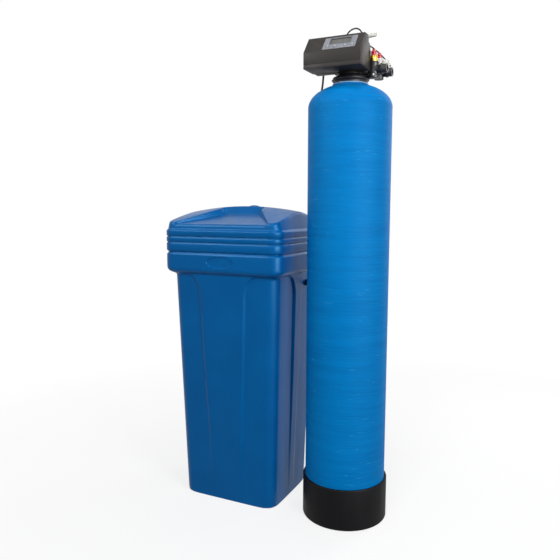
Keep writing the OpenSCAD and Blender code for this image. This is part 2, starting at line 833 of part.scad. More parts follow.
module front_cover() {
    color("#2c2927") {
        difference() {
            along_x(head_x0, head_x1) cover_outline(0);
            along_x(head_x0 + case_wall, head_x1 - case_wall) cover_outline(case_wall);
            // Opening to the rear housing
            translate([housing_x0 + case_wall, cover_back - case_wall - past, head_z + case_wall])
                cube([housing_x1 - housing_x0 - 2 * case_wall, case_wall + 2 * past,
                    housing_h - 2 * case_wall]);
            // Shadow line along the front
            translate([head_x0 - past, -head_front - past, head_z + 11]) cube([head_w + 2 * past, 1.8, 1.2]);
            on_slope() {
                translate([overlay_x, window_v, -2 * case_wall])
                    linear_extrude(4 * case_wall) square([window_w, window_h], center = true);
                for (x = button_xs)
                    rod_z([x, button_v, -2 * case_wall], button_d / 2 + move_gap, 4 * case_wall);
            }
        }
        on_slope() for (sx = [-1, 1], sy = [-1, 1])
            rod_z([overlay_x + sx * (board_w / 2 - 3), overlay_v + sy * (board_v / 2 - 3), board_n], 2.5,
                -board_n - case_wall / 2);
    }
}

module panel_overlay() {
    color("#8f959c") on_slope() difference() {
        translate([overlay_x, overlay_v, 0]) linear_extrude(overlay_t) rrect(overlay_w, overlay_h, 2);
        translate([overlay_x, window_v, -past])
            linear_extrude(overlay_t + 2 * past) square([window_w, window_h], center = true);
        for (x = button_xs) rod_z([x, button_v, -past], button_d / 2 + move_gap, overlay_t + 2 * past);
    }
}

module display_lens() {
    color("#66706c", 0.6) on_slope() translate([overlay_x, window_v, -case_wall])
        linear_extrude(case_wall + overlay_t)
            square([window_w - 2 * seat_gap, window_h - 2 * seat_gap], center = true);
}

module lcd_module() {
    color("#9aa39a") on_slope() translate([overlay_x, window_v, board_n])
        linear_extrude(-board_n - case_wall - seat_gap)
            square([window_w + 4, window_h + 3], center = true);
}

module control_board() {
    color("darkgreen") on_slope() {
        translate([overlay_x, overlay_v, board_n - board_h])
            linear_extrude(board_h) rrect(board_w, board_v, 1);
        for (x = button_xs) translate([x, button_v, board_n]) linear_extrude(switch_n - board_n)
            square(6, center = true);
    }
}

module button(x) {
    top = overlay_t + button_travel + 0.4;
    color("#d9dcdf") on_slope() {
        rod_z([x, button_v, -case_wall - move_gap], button_d / 2, case_wall + move_gap + top);
        rod_z([x, button_v, -case_wall - move_gap - button_flange], button_d / 2 + 1, button_flange);
    }
}

module button_menu() { button(button_xs[0]); }
module button_manual() { button(button_xs[1]); }
module button_down() { button(button_xs[2]); }
module button_up() { button(button_xs[3]); }

module sensor_cable() {
    color("#1a1a1a") tube(cable_route, cable_d, 8, [1, 0, 0]);
}

// Brine and drain fittings on the valve

module brine_elbow() {
    mouth = -block_w / 2 - brine_boss;
    color("#1c1c1c") difference() {
        union() {
            rod_x([brine_down_x, brine_at_y, brine_at_z], 7.5, mouth - brine_down_x);
            rod_x([mouth - past, brine_at_y, brine_at_z], 6, 14);
            rod_z([brine_down_x, brine_at_y, nut_top], 7.5, brine_at_z - nut_top);
            translate([brine_down_x, brine_at_y, brine_at_z]) sphere(7.5);
            rod_z([brine_down_x, brine_at_y, nut_top - brine_nut_h + 3], 5.5, brine_nut_h);
        }
        rod_z([brine_down_x, brine_at_y, nut_top - brine_nut_h], 3, brine_at_z - nut_top + brine_nut_h);
        rod_x([brine_down_x, brine_at_y, brine_at_z], 3, mouth - brine_down_x + 20);
    }
}

module brine_nut() {
    color("#2a2a2a") difference() {
        rod_z(brine_end, 9, brine_nut_h);
        rod_z([brine_down_x, brine_at_y, brine_end[2] + 3 - seat_gap], 5.5 + seat_gap, brine_nut_h);
    }
}

module brine_line() {
    color("#202020") tube(brine_route, brine_tube_d, 8, [0, 1, 0]);
}

module drain_elbow() {
    at = drain_at;
    color("white") difference() {
        union() {
            rod_z([at[0], at[1], block_top - 4], drain_r, drain_z - block_top + 4);
            rod_z([at[0], at[1], block_top + drain_boss_h], 10, 8);
            translate([at[0], at[1], drain_z]) sphere(drain_r + 1);
            rod_x([at[0], at[1], drain_z], drain_tube_r, drain_x1 - drain_tip - at[0]);
            rod_x([at[0], at[1], drain_z], drain_r, drain_x1 - at[0]);
            for (i = [1 : 4])
                translate([drain_x1 - drain_tip - i * rib_step, at[1], drain_z]) rotate([0, 90, 0])
                    cylinder(r1 = rib_r, r2 = drain_tube_r, h = rib_step - 0.4);
        }
        rod_z([at[0], at[1], block_top - 5], 4, drain_z - block_top + 5);
        rod_x([at[0], at[1], drain_z], 4, drain_x1);
    }
}

// Bypass

module bypass_body() {
    rear = tap_ys[1];
    color("#1b1b1d") {
        difference() {
            union() {
                for (y = tap_ys) {
                    rod_z([tap_x, y, barrel_low], barrel_r, barrel_top - barrel_low);
                    rod_z([tap_x, y, barrel_top - 5], barrel_r + collar_over, 3);
                    rod_x([spigot_x0, y, port_z], spigot_r, tap_x - spigot_x0);
                    rod_x([tap_x, y, port_z], stub_r, stub_x - tap_x);
                    rod_x([turbine_x - 5, y, port_z], stub_r + 2.2, 5);
                }
                rod_y([tap_x, tap_ys[0], port_z], flow_r + 3, port_pitch);
                // Taller foot of the front barrel, with its screw boss
                rod_z([tap_x, tap_ys[0], foot_low], barrel_r + foot_over, barrel_low - foot_low + 2);
                rod_y([side_screw[0], side_screw[1] + screw_head_h, side_screw[2]], 4.5, 6);
                // Saddle for the meter cap
                rod_z([cap_mid, rear, port_z], 5, cap_z - port_z - cap_r + 2);
            }
            for (y = tap_ys) {
                rod_z([tap_x, y, plug_low - move_gap], plug_r + run_gap, barrel_top);
                rod_x([spigot_x0 - past, y, port_z], flow_r, stub_x);
                translate([spigot_x0 + 1.5, y, port_z]) rotate([0, 90, 0]) difference() {
                    cylinder(r = spigot_r + past, h = 3);
                    translate([0, 0, -past])
                        cylinder(r = spigot_r - 2 * ring_r - 0.1, h = 3 + 2 * past);
                }
            }
            rod_y([tap_x, tap_ys[0], port_z], flow_r - 2, port_pitch);
            rod_y([side_screw[0], side_screw[1], side_screw[2]], screw_r + seat_gap, 8);
            rod_x([cap_x0 - seat_gap, rear, cap_z], cap_r + seat_gap, cap_len + 2 * seat_gap);
        }
        // Spider that carries the turbine's pin
        rod_x([turbine_x - 4, rear, port_z], 2, 3);
        rod_x([turbine_x - 4, rear, port_z], 1, 13);
        for (a = [0, 120, 240])
            translate([turbine_x - 4, rear, port_z]) rotate([a, 0, 0])
                translate([0, -0.8, 0]) cube([3, 1.6, flow_r + 1]);
    }
}

module retaining_clips() {
    wire = 1.2;
    x = (socket_x1 + tap_x - barrel_r) / 2;
    leg = spigot_r + seat_gap + wire;
    color("silver") for (y = tap_ys) {
        for (s = [-1, 1]) rod_z([x, y + s * leg, port_z - 10], wire, 26);
        rod_y([x, y - leg, port_z + 16], wire, 2 * leg);
        for (s = [-1, 1]) translate([x, y + s * leg, port_z + 16]) sphere(wire);
    }
}

// A tap plug with its stem and crossing water ways
module plug(i) {
    y = tap_ys[i];
    difference() {
        union() {
            rod_z([tap_x, y, plug_low], plug_r, plug_top - plug_low);
            rod_z([tap_x, y, plug_top - past], stem_r, handle_z[i] + 10 - plug_top + past);
        }
        rod_x([tap_x - 20, y, port_z], flow_r - 0.5, 40);
        rod_y([tap_x, i == 0 ? y : y - 20, port_z], flow_r - 2, 20);
    }
}

module inlet_plug() { color("gainsboro") plug(0); }
module outlet_plug() { color("gainsboro") plug(1); }

// The gland nut on top of a tap barrel
module gland(i) {
    difference() {
        rod_z([tap_x, tap_ys[i], barrel_top], gland_r[i], gland_h[i]);
        rod_z([tap_x, tap_ys[i], barrel_top - past], stem_r + run_gap, gland_h[i] + 2 * past);
        rod_z([tap_x, tap_ys[i], barrel_top - past], stem_r + 2, 4 + past);
    }
}

module inlet_gland() {
    color("goldenrod") difference() {
        gland(0);
        for (a = [0 : 30 : 330])
            translate([tap_x, tap_ys[0], barrel_top + 9]) rotate(a) rod_z([gland_r[0] + 0.6, 0, 0], 1.5, 20);
    }
}

module outlet_gland() { color("whitesmoke") gland(1); }

// Hub of a handle, with the blind hole for its stem
module handle_hub(i) {
    difference() {
        children();
        rod_z([tap_x, tap_ys[i], handle_z[i] - past], stem_r + run_gap, 10 + seat_gap + past);
    }
}

module inlet_handle() {
    color("crimson") handle_hub(0) {
        rod_z([tap_x, tap_ys[0], handle_z[0]], 7.8, 12);
        translate([tap_x, tap_ys[0], handle_z[0] + 8]) linear_extrude(grip_h - 8) rrect(8, 17, 3);
    }
}

module outlet_handle() {
    color("crimson") handle_hub(1) {
        rod_z([tap_x, tap_ys[1], handle_z[1]], 7.8, 11);
        translate([tap_x - 4, tap_ys[1], handle_z[1] + 9]) rotate([90, 0, 90]) linear_extrude(8)
            difference() {
                circle(9);
                circle(5);
                translate([-20, -20]) square([40, 20]);
            }
    }
}

module meter_cap() {
    y = tap_ys[1];
    color("whitesmoke") difference() {
        union() {
            rod_x([cap_x0, y, cap_z], cap_r, cap_len - 3);
            translate([cap_x0 + cap_len - 3, y, cap_z]) rotate([0, 90, 0])
                cylinder(r1 = cap_r, r2 = cap_r - 3, h = 3);
            rod_y([cap_mid, y, cap_z], sensor_r + 1.4, cap_r + 4);
        }
        rod_y([cap_mid, y + 6, cap_z], sensor_r + seat_gap, cap_r);
    }
}

module meter_sensor() {
    y = tap_ys[1];
    flange_y = y + cap_r + 4 + seat_gap;
    color("#151515") {
        rod_y([cap_mid, y + 7, cap_z], sensor_r, flange_y - y - 7 + past);
        rod_y([cap_mid, flange_y, cap_z], sensor_r + 1.5, 3);
        translate([cap_mid, flange_y + 3, cap_z]) rotate([-90, 0, 0])
            cylinder(r1 = sensor_r, r2 = 3.2, h = sensor_end[1] - flange_y - 3);
    }
}

module turbine() {
    color("royalblue") translate([turbine_x, tap_ys[1], port_z]) difference() {
        union() {
            rod_x([0, 0, 0], 2.6, 8);
            for (a = [0 : 60 : 300]) rotate([a, 0, 0])
                translate([4, 0, turbine_r / 2]) rotate([0, 0, 30]) cube([7, 0.9, turbine_r], center = true);
        }
        rod_x([-past, 0, 0], 1 + run_gap, 8 + 2 * past);
    }
}

// Brine tank

// Outline of a middle panel, with a flared top, drawn on the face
module panel_outline(halves) {
    low = halves[0];
    high = halves[1];
    flare = halves[2];
    knee = body_h - panel_knee;
    top = body_h - 4;
    half = concat([[low, 4], [high, knee]],
        [for (a = [15 : 15 : 90]) [flare - (flare - high) * cos(a), knee + (top - knee) * sin(a)]]);
    polygon(concat(half, [for (i = [len(half) - 1 : -1 : 0]) [-half[i][0], half[i][1]]]));
}

module panel(half_depth, draft, halves) {
    translate([0, -half_depth, 0]) rotate([90 + draft, 0, 0]) translate([0, 0, -2 * panel_proud])
        linear_extrude(3 * panel_proud) panel_outline(halves);
}

module brine_tank() {
    color("#0f5aa5") at_brine() difference() {
        union() {
            hull() {
                slab(foot_w - 10, foot_depth - 10, corner_r - 5, 0);
                slab(foot_w, foot_depth, corner_r, 6);
                slab(top_w, top_depth, corner_r, body_h - 0.5);
            }
            for (a = [0, 180]) {
                rotate(a) panel(foot_depth / 2, draft_y, front_panel);
                rotate(a + 90) panel(foot_w / 2, draft_x, side_panel);
            }
            hull() {
                slab(top_w, top_depth, corner_r, body_h - 6);
                slab(rim_w - 16, rim_depth - 16, corner_r, body_h + 4);
                slab(rim_w, rim_depth, corner_r, body_h + 18);
            }
            prism(rim_w, rim_depth, corner_r, body_h + 18, rim_z);
        }
        hull() {
            slab(foot_w - 2 * brine_wall, foot_depth - 2 * brine_wall, corner_r - brine_wall, floor_h);
            slab(top_w - 2 * brine_wall, top_depth - 2 * brine_wall, corner_r - brine_wall, body_h);
        }
        hull() {
            slab(top_w - 2 * brine_wall, top_depth - 2 * brine_wall, corner_r - brine_wall, body_h);
            slab(rim_w - 2 * rim_wall, rim_depth - 2 * rim_wall, corner_r - rim_wall, body_h + 24);
        }
        prism(rim_w - 2 * rim_wall, rim_depth - 2 * rim_wall, corner_r - rim_wall, body_h + 24,
            rim_z + past);
        rod_x([wall_x - 20, well_y, line_z], gland_shank_r + seat_gap, 40);
        rod_y([overflow_x, overflow_y - 20, overflow_z], overflow_shank_r + seat_gap, 40);
        // Shallow oval ring on the rim's front, left bare
        translate([5, -rim_depth / 2, body_h + rim_h / 2]) rotate([90, 0, 0]) difference() {
            scale([1, 0.4, 1]) cylinder(r = 51, h = 3, center = true);
            scale([1, 0.37, 1]) cylinder(r = 48, h = 4, center = true);
        }
    }
}

// Rings that the crowned top blends through: inset in X, inset in Y, height
crown = [[6, 6, 0], [9, 10, 0.16], [13, 24, 0.28], [17, 105, 0.54], [21, 168, 0.75], [112, 178, 0.95],
    [190, 182, 1]];

module crowned(inset) {
    hull() for (c = crown)
        slab(rim_w - 2 * (c[0] + inset), rim_depth - 2 * (c[1] * (1 - 0.1 * inset / rim_over) + inset / 2),
            max(4, min(corner_r - 8, rim_depth / 2 - c[1] - inset - 1)),
            lid_edge + c[2] * crown_h - inset - 0.5);
}

// The hand recess: a fan that opens to the front over a sloping floor
module recess(grow) {
    back = rim_depth / 2 + 4 + grow;
    tip = rim_depth / 2 - 36;
    w = recess_w / 2 + grow;
    translate([0, 24 - rim_depth / 2, lid_edge + 0.31 * crown_h - grow]) rotate([9, 0, 0])
        linear_extrude(crown_h) {
            polygon([[-w, back - 24], [w, back - 24], [w, tip], [rim_w / 2 - 46 + grow, 0],
                [rim_w / 2 - 36 + grow, -40], [36 - rim_w / 2 - grow, -40], [46 - rim_w / 2 - grow, 0],
                [-w, tip]]);
        }
}

module brine_lid() {
    rib = skirt_h / 4;
    color("#0f5aa5") at_brine() difference() {
        union() {
            prism(rim_w - 2 * groove, rim_depth - 2 * groove, corner_r - groove, lid_low, lid_edge);
            prism(rim_w, rim_depth, corner_r, lid_low + 2, lid_low + 2 * rib - 4);
            prism(rim_w, rim_depth, corner_r, lid_low + 2 * rib - 2, lid_low + 3 * rib - 2);
            prism(rim_w, rim_depth, corner_r, lid_low + 3 * rib, lid_edge - 2);
            crowned(0);
            prism(rim_w - 2 * rim_wall - 2 * move_gap, rim_depth - 2 * rim_wall - 2 * move_gap,
                corner_r - rim_wall - move_gap, rim_z - 14, lid_low + 20);
        }
        recess(0);
        difference() {
            union() {
                prism(rim_w - 2 * (rim_wall + lid_wall), rim_depth - 2 * (rim_wall + lid_wall),
                    corner_r - rim_wall - lid_wall, rim_z - 14 - past, lid_edge - lid_wall);
                crowned(lid_wall);
            }
            recess(lid_wall);
        }
    }
}

// Brine well and its valve

module brine_well() {
    color("whitesmoke") at_well() difference() {
        rod_z([0, 0, floor_h], well_r, well_h);
        rod_z([0, 0, floor_h - past], well_r - well_wall, well_h + 2 * past);
        rod_x([0, 0, line_z], 6.5, well_r + past);
        for (a = [0 : 90 : 270]) rotate(a) rod_x([0, 0, floor_h + 10], 5, well_r + past);
    }
}

module well_cap() {
    color("white") at_well() difference() {
        rod_z([0, 0, well_top - 10], well_r + move_gap + 2.5, 13 + move_gap);
        rod_z([0, 0, well_top - 10 - past], well_r + move_gap, 10 + move_gap + past);
    }
}

module salt_grid() {
    w = foot_w - 2 * brine_wall - 8;
    d = foot_depth - 2 * brine_wall - 8;
    color("#d8d8d8") at_brine() {
        translate([0, 0, grid_z]) linear_extrude(grid_h) difference() {
            rrect(w, d, corner_r - brine_wall);
            translate([well_x, well_y]) circle(well_r + 1);
            for (x = [-w / 2 + 30 : 30 : w / 2 - 30], y = [-d / 2 + 30 : 30 : d / 2 - 30])
                if (norm([x - well_x, y - well_y]) > well_r + 12) translate([x, y]) circle(7, $fn = 24);
        }
        for (x = [-w / 2 + 15, w / 2 - 15]) rod_z([x, -d / 2 + 45, floor_h], 9, grid_rise + past);
        rod_z([-w / 2 + 15, d / 2 - 45, floor_h], 9, grid_rise + past);
        rod_z([15, d / 2 - 15, floor_h], 9, grid_rise + past);
    }
}

module brine_valve_body() {
    color("#30343a") at_well() {
        difference() {
            union() {
                rod_z([0, 0, arm_z], 15, line_z + 14 - arm_z);
                translate([-8, -float_off - 8, arm_z]) cube([16, float_off, arm_h]);
                rod_x([0, 0, line_z], pipe_r, wall_x - well_x - brine_wall - 3);
            }
            rod_z([0, -float_off, arm_z - past], rod_r + run_gap, arm_h + 2 * past);
            rod_z([0, 0, arm_z - past], pipe_r + seat_gap, 14 + past);
            rod_z([0, 0, arm_z], 4, line_z - arm_z);
            rod_x([0, 0, line_z], 3.5, wall_x);
        }
    }
}

module pickup_tube() {
    low = guide_z + 4;
    color("whitesmoke") at_well() difference() {
        rod_z([0, 0, low], pipe_r, arm_z + 13 - low);
        rod_z([0, 0, low - past], 4, arm_z + 13 - low + 2 * past);
    }
}

module air_check_cage() {
    low = floor_h + 6;
    color("#e8e8e8") at_well() {
        difference() {
            union() {
                rod_z([0, 0, low], cage_r, guide_z + 14 - low);
                rod_z([0, 0, floor_h], 5, 8);
                translate([-7, -float_off - 7, guide_z]) cube([14, float_off, 10]);
            }
            rod_z([0, 0, low + 6], ball_r + 2, guide_z - low - 10);
            rod_z([0, 0, guide_z - 6], 4, 30);
            rod_z([0, 0, guide_z + 4 - seat_gap], pipe_r + seat_gap, 30);
            rod_z([0, -float_off, guide_z - past], rod_r + run_gap, 12 + past);
            for (a = [45 : 90 : 315])
                rotate(a) translate([0, -3, low + 12]) cube([cage_r + past, 6, 44]);
        }
    }
}

module air_check_ball() {
    color("tomato") at_well() translate([0, 0, floor_h + 12 + ball_r + move_gap]) sphere(ball_r);
}

module float_cup() {
    color("#e4572e") at_well() translate([0, -float_off, float_z]) difference() {
        cylinder(r = float_r, h = float_h);
        translate([0, 0, -past]) cylinder(r = rod_r + seat_gap / 2, h = float_h + 2 * past);
        translate([0, 0, float_h - 12]) cylinder(r = float_r - 4, h = 12 + past);
    }
}

module float_rod() {
    low = guide_z - 8;
    color("silver") at_well() translate([0, -float_off, 0]) {
        rod_z([0, 0, low], rod_r, arm_z + arm_h + 14 - low);
        rod_z([0, 0, arm_z + arm_h + move_gap], 6, 5);
    }
}

// Fittings through the drafted wall: a shank with a flat nut on each side

module brine_gland() {
    inner = wall_x - brine_wall - gland_gap - nut_h;
    nose = gland_nose[0] - brine_x;
    color("#26282c") at_brine() translate([0, well_y, line_z]) difference() {
        union() {
            rod_x([inner, 0, 0], gland_shank_r, wall_x - inner + 2);
            rod_x([inner, 0, 0], gland_nut_r, nut_h);
            rod_x([wall_x + gland_gap, 0, 0], gland_nut_r, nut_h);
            rod_x([wall_x + 2, 0, 0], 8.5, nose - wall_x - 2);
        }
        rod_x([inner - past, 0, 0], pipe_r + seat_gap, nut_h + 3 + past);
        rod_x([inner, 0, 0], 3, nut_h + brine_wall + 5);
    }
}

module overflow_fitting() {
    inner = overflow_y - brine_wall - overflow_gap - nut_h;
    color("#26282c") at_brine() translate([overflow_x, 0, overflow_z]) difference() {
        union() {
            rod_y([0, inner, 0], overflow_shank_r, overflow_y - inner + 2);
            rod_y([0, inner, 0], overflow_nut_r, nut_h);
            rod_y([0, overflow_y + overflow_gap, 0], overflow_nut_r, nut_h);
            rod_y([0, overflow_y + 2, 0], drain_r, overflow_spigot + nut_h + overflow_gap - 2);
        }
        rod_y([0, inner - past, 0], 4.5, overflow_y - inner + nut_h + overflow_spigot + 5);
    }
}

tank_shell();
tank_liner();
neck_ring();
tank_boot();
riser_tube();
bottom_distributor();
top_strainer();
resin_bed();
valve_body();
valve_bonnet();
seal_rings();
steel_screws();
fixed_disc();
moving_disc();
rotor_shaft();
drive_gear();
motor_pinion();
drive_motor();
gear_plate();
rear_housing();
front_cover();
panel_overlay();
display_lens();
lcd_module();
control_board();
button_menu();
button_manual();
button_down();
button_up();
power_jack();
cable_gland();
sensor_cable();
brine_elbow();
brine_nut();
brine_line();
drain_elbow();
bypass_body();
retaining_clips();
inlet_plug();
outlet_plug();
inlet_gland();
outlet_gland();
inlet_handle();
outlet_handle();
meter_cap();
meter_sensor();
turbine();
brine_tank();
brine_lid();
brine_well();
well_cap();
salt_grid();
brine_valve_body();
pickup_tube();
air_check_cage();
air_check_ball();
float_cup();
float_rod();
brine_gland();
overflow_fitting();
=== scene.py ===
# %% [markdown]
# # A water softener
# A tall wound pressure tank carries a control head, and a moulded brine tank stands beside it.
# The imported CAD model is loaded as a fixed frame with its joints. This script dresses it: smooth
# shells where the solids are plain, two cords, and a finish for every node.

# %% Load the frame
import json
import math

import bmesh
import bpy
from mathutils import Matrix, Vector


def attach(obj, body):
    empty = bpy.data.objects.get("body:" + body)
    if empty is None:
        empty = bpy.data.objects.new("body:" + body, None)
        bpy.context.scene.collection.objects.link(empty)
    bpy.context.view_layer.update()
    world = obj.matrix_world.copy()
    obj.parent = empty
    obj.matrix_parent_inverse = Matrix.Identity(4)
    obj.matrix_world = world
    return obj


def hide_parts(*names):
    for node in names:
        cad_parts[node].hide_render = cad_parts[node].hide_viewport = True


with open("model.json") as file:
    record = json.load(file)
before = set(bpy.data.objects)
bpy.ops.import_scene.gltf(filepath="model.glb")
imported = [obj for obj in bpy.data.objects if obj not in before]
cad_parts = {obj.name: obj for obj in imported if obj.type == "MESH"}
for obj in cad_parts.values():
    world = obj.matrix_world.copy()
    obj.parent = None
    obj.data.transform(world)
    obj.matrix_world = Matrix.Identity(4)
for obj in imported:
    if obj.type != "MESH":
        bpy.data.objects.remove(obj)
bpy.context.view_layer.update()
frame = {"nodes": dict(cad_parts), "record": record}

nodes = frame["nodes"]
record = frame["record"]
body_of = {node: body for body, held in record["behaviour"]["bodies"].items() for node in held}
slot_of = {part["node"]: part["material_slot"] for part in record["subparts"]}

# %% [markdown]
# ## Camera
# The object is seen from chest height, a little to the right. A camera could be aimed at a target by
# a constraint. Here it has a place and three turns, because those were fitted to the outline of the
# vessel, whose size is a standard one.

# %% Camera
LENS_MM = 38.54
SENSOR_MM = 36
CAMERA_AT = (0.6281, -1.79396, 0.99478)
CAMERA_TURN = (83.2084, -0.1247, 25.7712)
camera_data = bpy.data.cameras.new("photo_camera")
camera_data.sensor_width = SENSOR_MM
camera_data.lens = LENS_MM
camera = bpy.data.objects.new("photo_camera", camera_data)
camera.location = CAMERA_AT
camera.rotation_euler = [math.radians(turn) for turn in CAMERA_TURN]
bpy.context.collection.objects.link(camera)
bpy.context.scene.camera = camera
print("camera:", LENS_MM, "mm lens,", round(camera.location.length, 2), "m from the origin")

# %% [markdown]
# ## Cords
# Two flexible lines show: the brine tube that hangs from the head and turns in to the brine tank,
# and the sensor cable that arches out of the casing's top and runs back to the meter. Each could be
# a mesh tube, but a Bezier curve through the route's points, with a round bevel, is the lightest way
# to a smooth cord. The bevel is one metre deep and the radius of each point shrinks it to the cord's
# own, because Blender widens a curve's box by the radius of its points.

# %% Cord routes: ends in metres, steps from an end in millimetres
BRINE_TUBE_D = 0.00635
CABLE_D = 0.0045
brine_nut_end = Vector((-0.101, 0.030, 1.424))
gland_nose = Vector((-0.17213, 0.112, 0.740))
casing_exit = Vector((-0.004, -0.035, 1.491))
sensor_end = Vector((0.095, 0.086, 1.437))
brine_down = [(0, 0, 0), (0, 0, -12), (-1, 0, -26), (-3, 1, -42), (-7, 4, -58), (-11, 10, -74),
              (-15, 18, -91), (-19, 27, -108), (-21, 35, -126), (-23, 43, -145), (-23, 50, -164),
              (-23, 56, -184), (-23, 61, -206), (-23, 65, -229), (-23, 68, -254), (-23, 71, -279),
              (-23, 74, -306), (-23, 76, -334), (-23, 78, -364), (-23, 79, -394), (-23, 80, -424),
              (-23, 81, -454), (-23, 81, -484)]
brine_in = [(48, -1, 170), (48, 0, 140), (48, 0, 115), (48, 0, 92), (48, 0, 72), (47, 0, 55),
            (45, 0, 40), (41, 0, 27), (35, 0, 16), (26, 0, 8), (17, 0, 3), (9, 0, 0.5), (4, 0, 0),
            (0, 0, 0)]
cable_out = [(0, 0, 0), (0, 0, 8), (2, 0, 15), (6, -1, 21), (12, -2, 26), (19, -3, 29.5),
             (27, -3, 31.5), (35, -3, 31), (42, -2, 27.5), (47, 1, 21.5), (50, 6, 14), (52, 14, 7.5),
             (53, 25, 3), (53, 39, 0), (52, 54, -2), (52, 68, -3), (53, 82, -3), (56, 95, -5),
             (60, 108, -9), (65, 120, -13), (68, 132, -17)]
cable_in = [(-29, 21, 35), (-25, 29, 30), (-19, 34, 23), (-13, 35, 15), (-7, 31, 8), (-2, 23, 3),
            (0, 13, 0), (0, 0, 0)]


def stepped(start, steps):
    return [start + Vector(step) / 1000 for step in steps]


brine_route = stepped(brine_nut_end, brine_down) + stepped(gland_nose, brine_in)
cable_route = stepped(casing_exit, cable_out) + stepped(sensor_end, cable_in)
print("routes:", len(brine_route), "points for the tube,", len(cable_route), "for the cable")


# %% Cord curves
def cord_curve(name, route, diameter, node):
    curve = bpy.data.curves.new(name, "CURVE")
    curve.dimensions = "3D"
    curve.bevel_depth = 1
    curve.bevel_resolution = 5
    curve.resolution_u = 6
    curve.use_fill_caps = True
    spline = curve.splines.new("BEZIER")
    spline.bezier_points.add(len(route) - 1)
    for point, place in zip(spline.bezier_points, route):
        point.co = place
        point.radius = diameter / 2
        point.handle_left_type = point.handle_right_type = "AUTO"
    cord = bpy.data.objects.new(name, curve)
    bpy.context.collection.objects.link(cord)
    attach(cord, body_of[node])
    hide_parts(node)
    return cord


brine_tube = cord_curve("brine_tube", brine_route, BRINE_TUBE_D, "brine_line")
meter_cable = cord_curve("meter_cable", cable_route, CABLE_D, "sensor_cable")

# %% [markdown]
# ## A way to make pieces
# Each new piece starts as a bmesh, gets its shape from operators, and is then turned into an object
# that rides on a body of the frame. It could be moved to its place as an object, but then a pattern
# on Object coordinates would slide, so its place stays in its mesh and the object at the origin.


# %% Turning a bmesh into a piece
def settle(bm, name, body, replaced=(), sharp=40):
    mesh = bpy.data.meshes.new(name)
    bm.to_mesh(mesh)
    bm.free()
    mesh.shade_smooth()
    mesh.set_sharp_from_angle(angle=math.radians(sharp))
    piece = bpy.data.objects.new(name, mesh)
    bpy.context.collection.objects.link(piece)
    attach(piece, body)
    if replaced:
        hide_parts(*replaced)
    print(name, len(mesh.polygons), "faces")
    return piece


# %% [markdown]
# ## Wound vessel, collar highlight ring and base cup
# The vessel is a liner with glass strands wound round it. The ring is a pale bead under the valve's
# collar that stands for the highlight along the neck's edge, a painted highlight. The cup is moulded
# rubber that keeps the round bottom upright. All three are turned shapes. They could be cylinders
# with bevels, but one half of the section, drawn as a chain of vertices and spun round the tank's
# axis, gives true elliptical domes and round lips.

# %% Spinning a section
MERGE_DISTANCE = 1e-6


def spun(section, steps):
    bm = bmesh.new()
    chain = [bm.verts.new((r, 0, z)) for r, z in section]
    edges = [bm.edges.new(pair) for pair in zip(chain, chain[1:])]
    bmesh.ops.spin(bm, geom=chain + edges, cent=(0, 0, 0), axis=(0, 0, 1), angle=math.tau,
                   steps=steps, use_merge=True)
    bmesh.ops.remove_doubles(bm, verts=bm.verts, dist=MERGE_DISTANCE)
    bmesh.ops.recalc_face_normals(bm, faces=bm.faces)
    return bm


def arc(centre, radii, start, end, count):
    angles = [math.radians(start + (end - start) * i / count) for i in range(count + 1)]
    return [(centre[0] + radii[0] * math.cos(a), centre[1] + radii[1] * math.sin(a)) for a in angles]


print("points closer than", MERGE_DISTANCE, "m become one")

# %% Wound vessel
TANK_R = 0.1285
TANK_TOP = 1.372
SHOULDER_Z = 1.300
LOW_DOME_Z = 0.0712
LOW_DOME_H = 0.066
COLLAR_R = 0.0535
COLLAR_EDGE = 0.0005
NECK_R = 0.0462
SHELL_WALL = 0.0035
TURN_STEPS = 144
inner_r = TANK_R - SHELL_WALL
dome_h = TANK_TOP - SHOULDER_Z
collar_angle = math.degrees(math.acos(COLLAR_R / TANK_R))
neck_angle = math.degrees(math.acos(NECK_R / inner_r))
vessel_section = (
    arc((0, LOW_DOME_Z), (TANK_R, LOW_DOME_H), -90, 0, 20)
    + arc((0, SHOULDER_Z), (TANK_R, dome_h), 0, collar_angle, 28)
    + [(COLLAR_R, TANK_TOP - COLLAR_EDGE), (COLLAR_R - COLLAR_EDGE, TANK_TOP), (NECK_R, TANK_TOP)]
    + arc((0, SHOULDER_Z), (inner_r, dome_h - SHELL_WALL), neck_angle, 0, 20)
    + arc((0, LOW_DOME_Z), (inner_r, LOW_DOME_H - SHELL_WALL), 0, -90, 14))
wound_vessel = settle(spun(vessel_section, TURN_STEPS), "wound_vessel", "frame",
                      ["tank_shell"])

# %% Collar ring: a pale bead that carries a painted highlight
BEAD_R = 0.0016
BEAD_DROP = 0.0019
bead_section = arc((COLLAR_R, TANK_TOP - BEAD_DROP), (BEAD_R, BEAD_R), -120, 120, 8)
bead_section.append(bead_section[0])
# a pale ring under the collar, painted as the highlight on the neck's edge
collar_highlight_ring = settle(spun(bead_section, 96), "collar_highlight_ring", "frame")

# %% Base cup
BOOT_R = 0.136
BOOT_H = 0.132
BOOT_FLOOR = 0.005
BOOT_FIT = 0.0002
FOOT_ROUND = 0.005
LIP_ROUND = 0.0025
LIP_LEAD = 0.001
cup_r = TANK_R + BOOT_FIT
boot_section = (
    [(0, 0)]
    + arc((BOOT_R - FOOT_ROUND, FOOT_ROUND), (FOOT_ROUND, FOOT_ROUND), -90, 0, 6)
    + arc((BOOT_R - LIP_ROUND, BOOT_H - LIP_ROUND), (LIP_ROUND, LIP_ROUND), 0, 90, 5)
    + [(cup_r + LIP_LEAD, BOOT_H), (cup_r, BOOT_H - LIP_LEAD), (cup_r, BOOT_FLOOR), (0, BOOT_FLOOR)])
base_cup = settle(spun(boot_section, TURN_STEPS), "base_cup", "frame", ["tank_boot"])

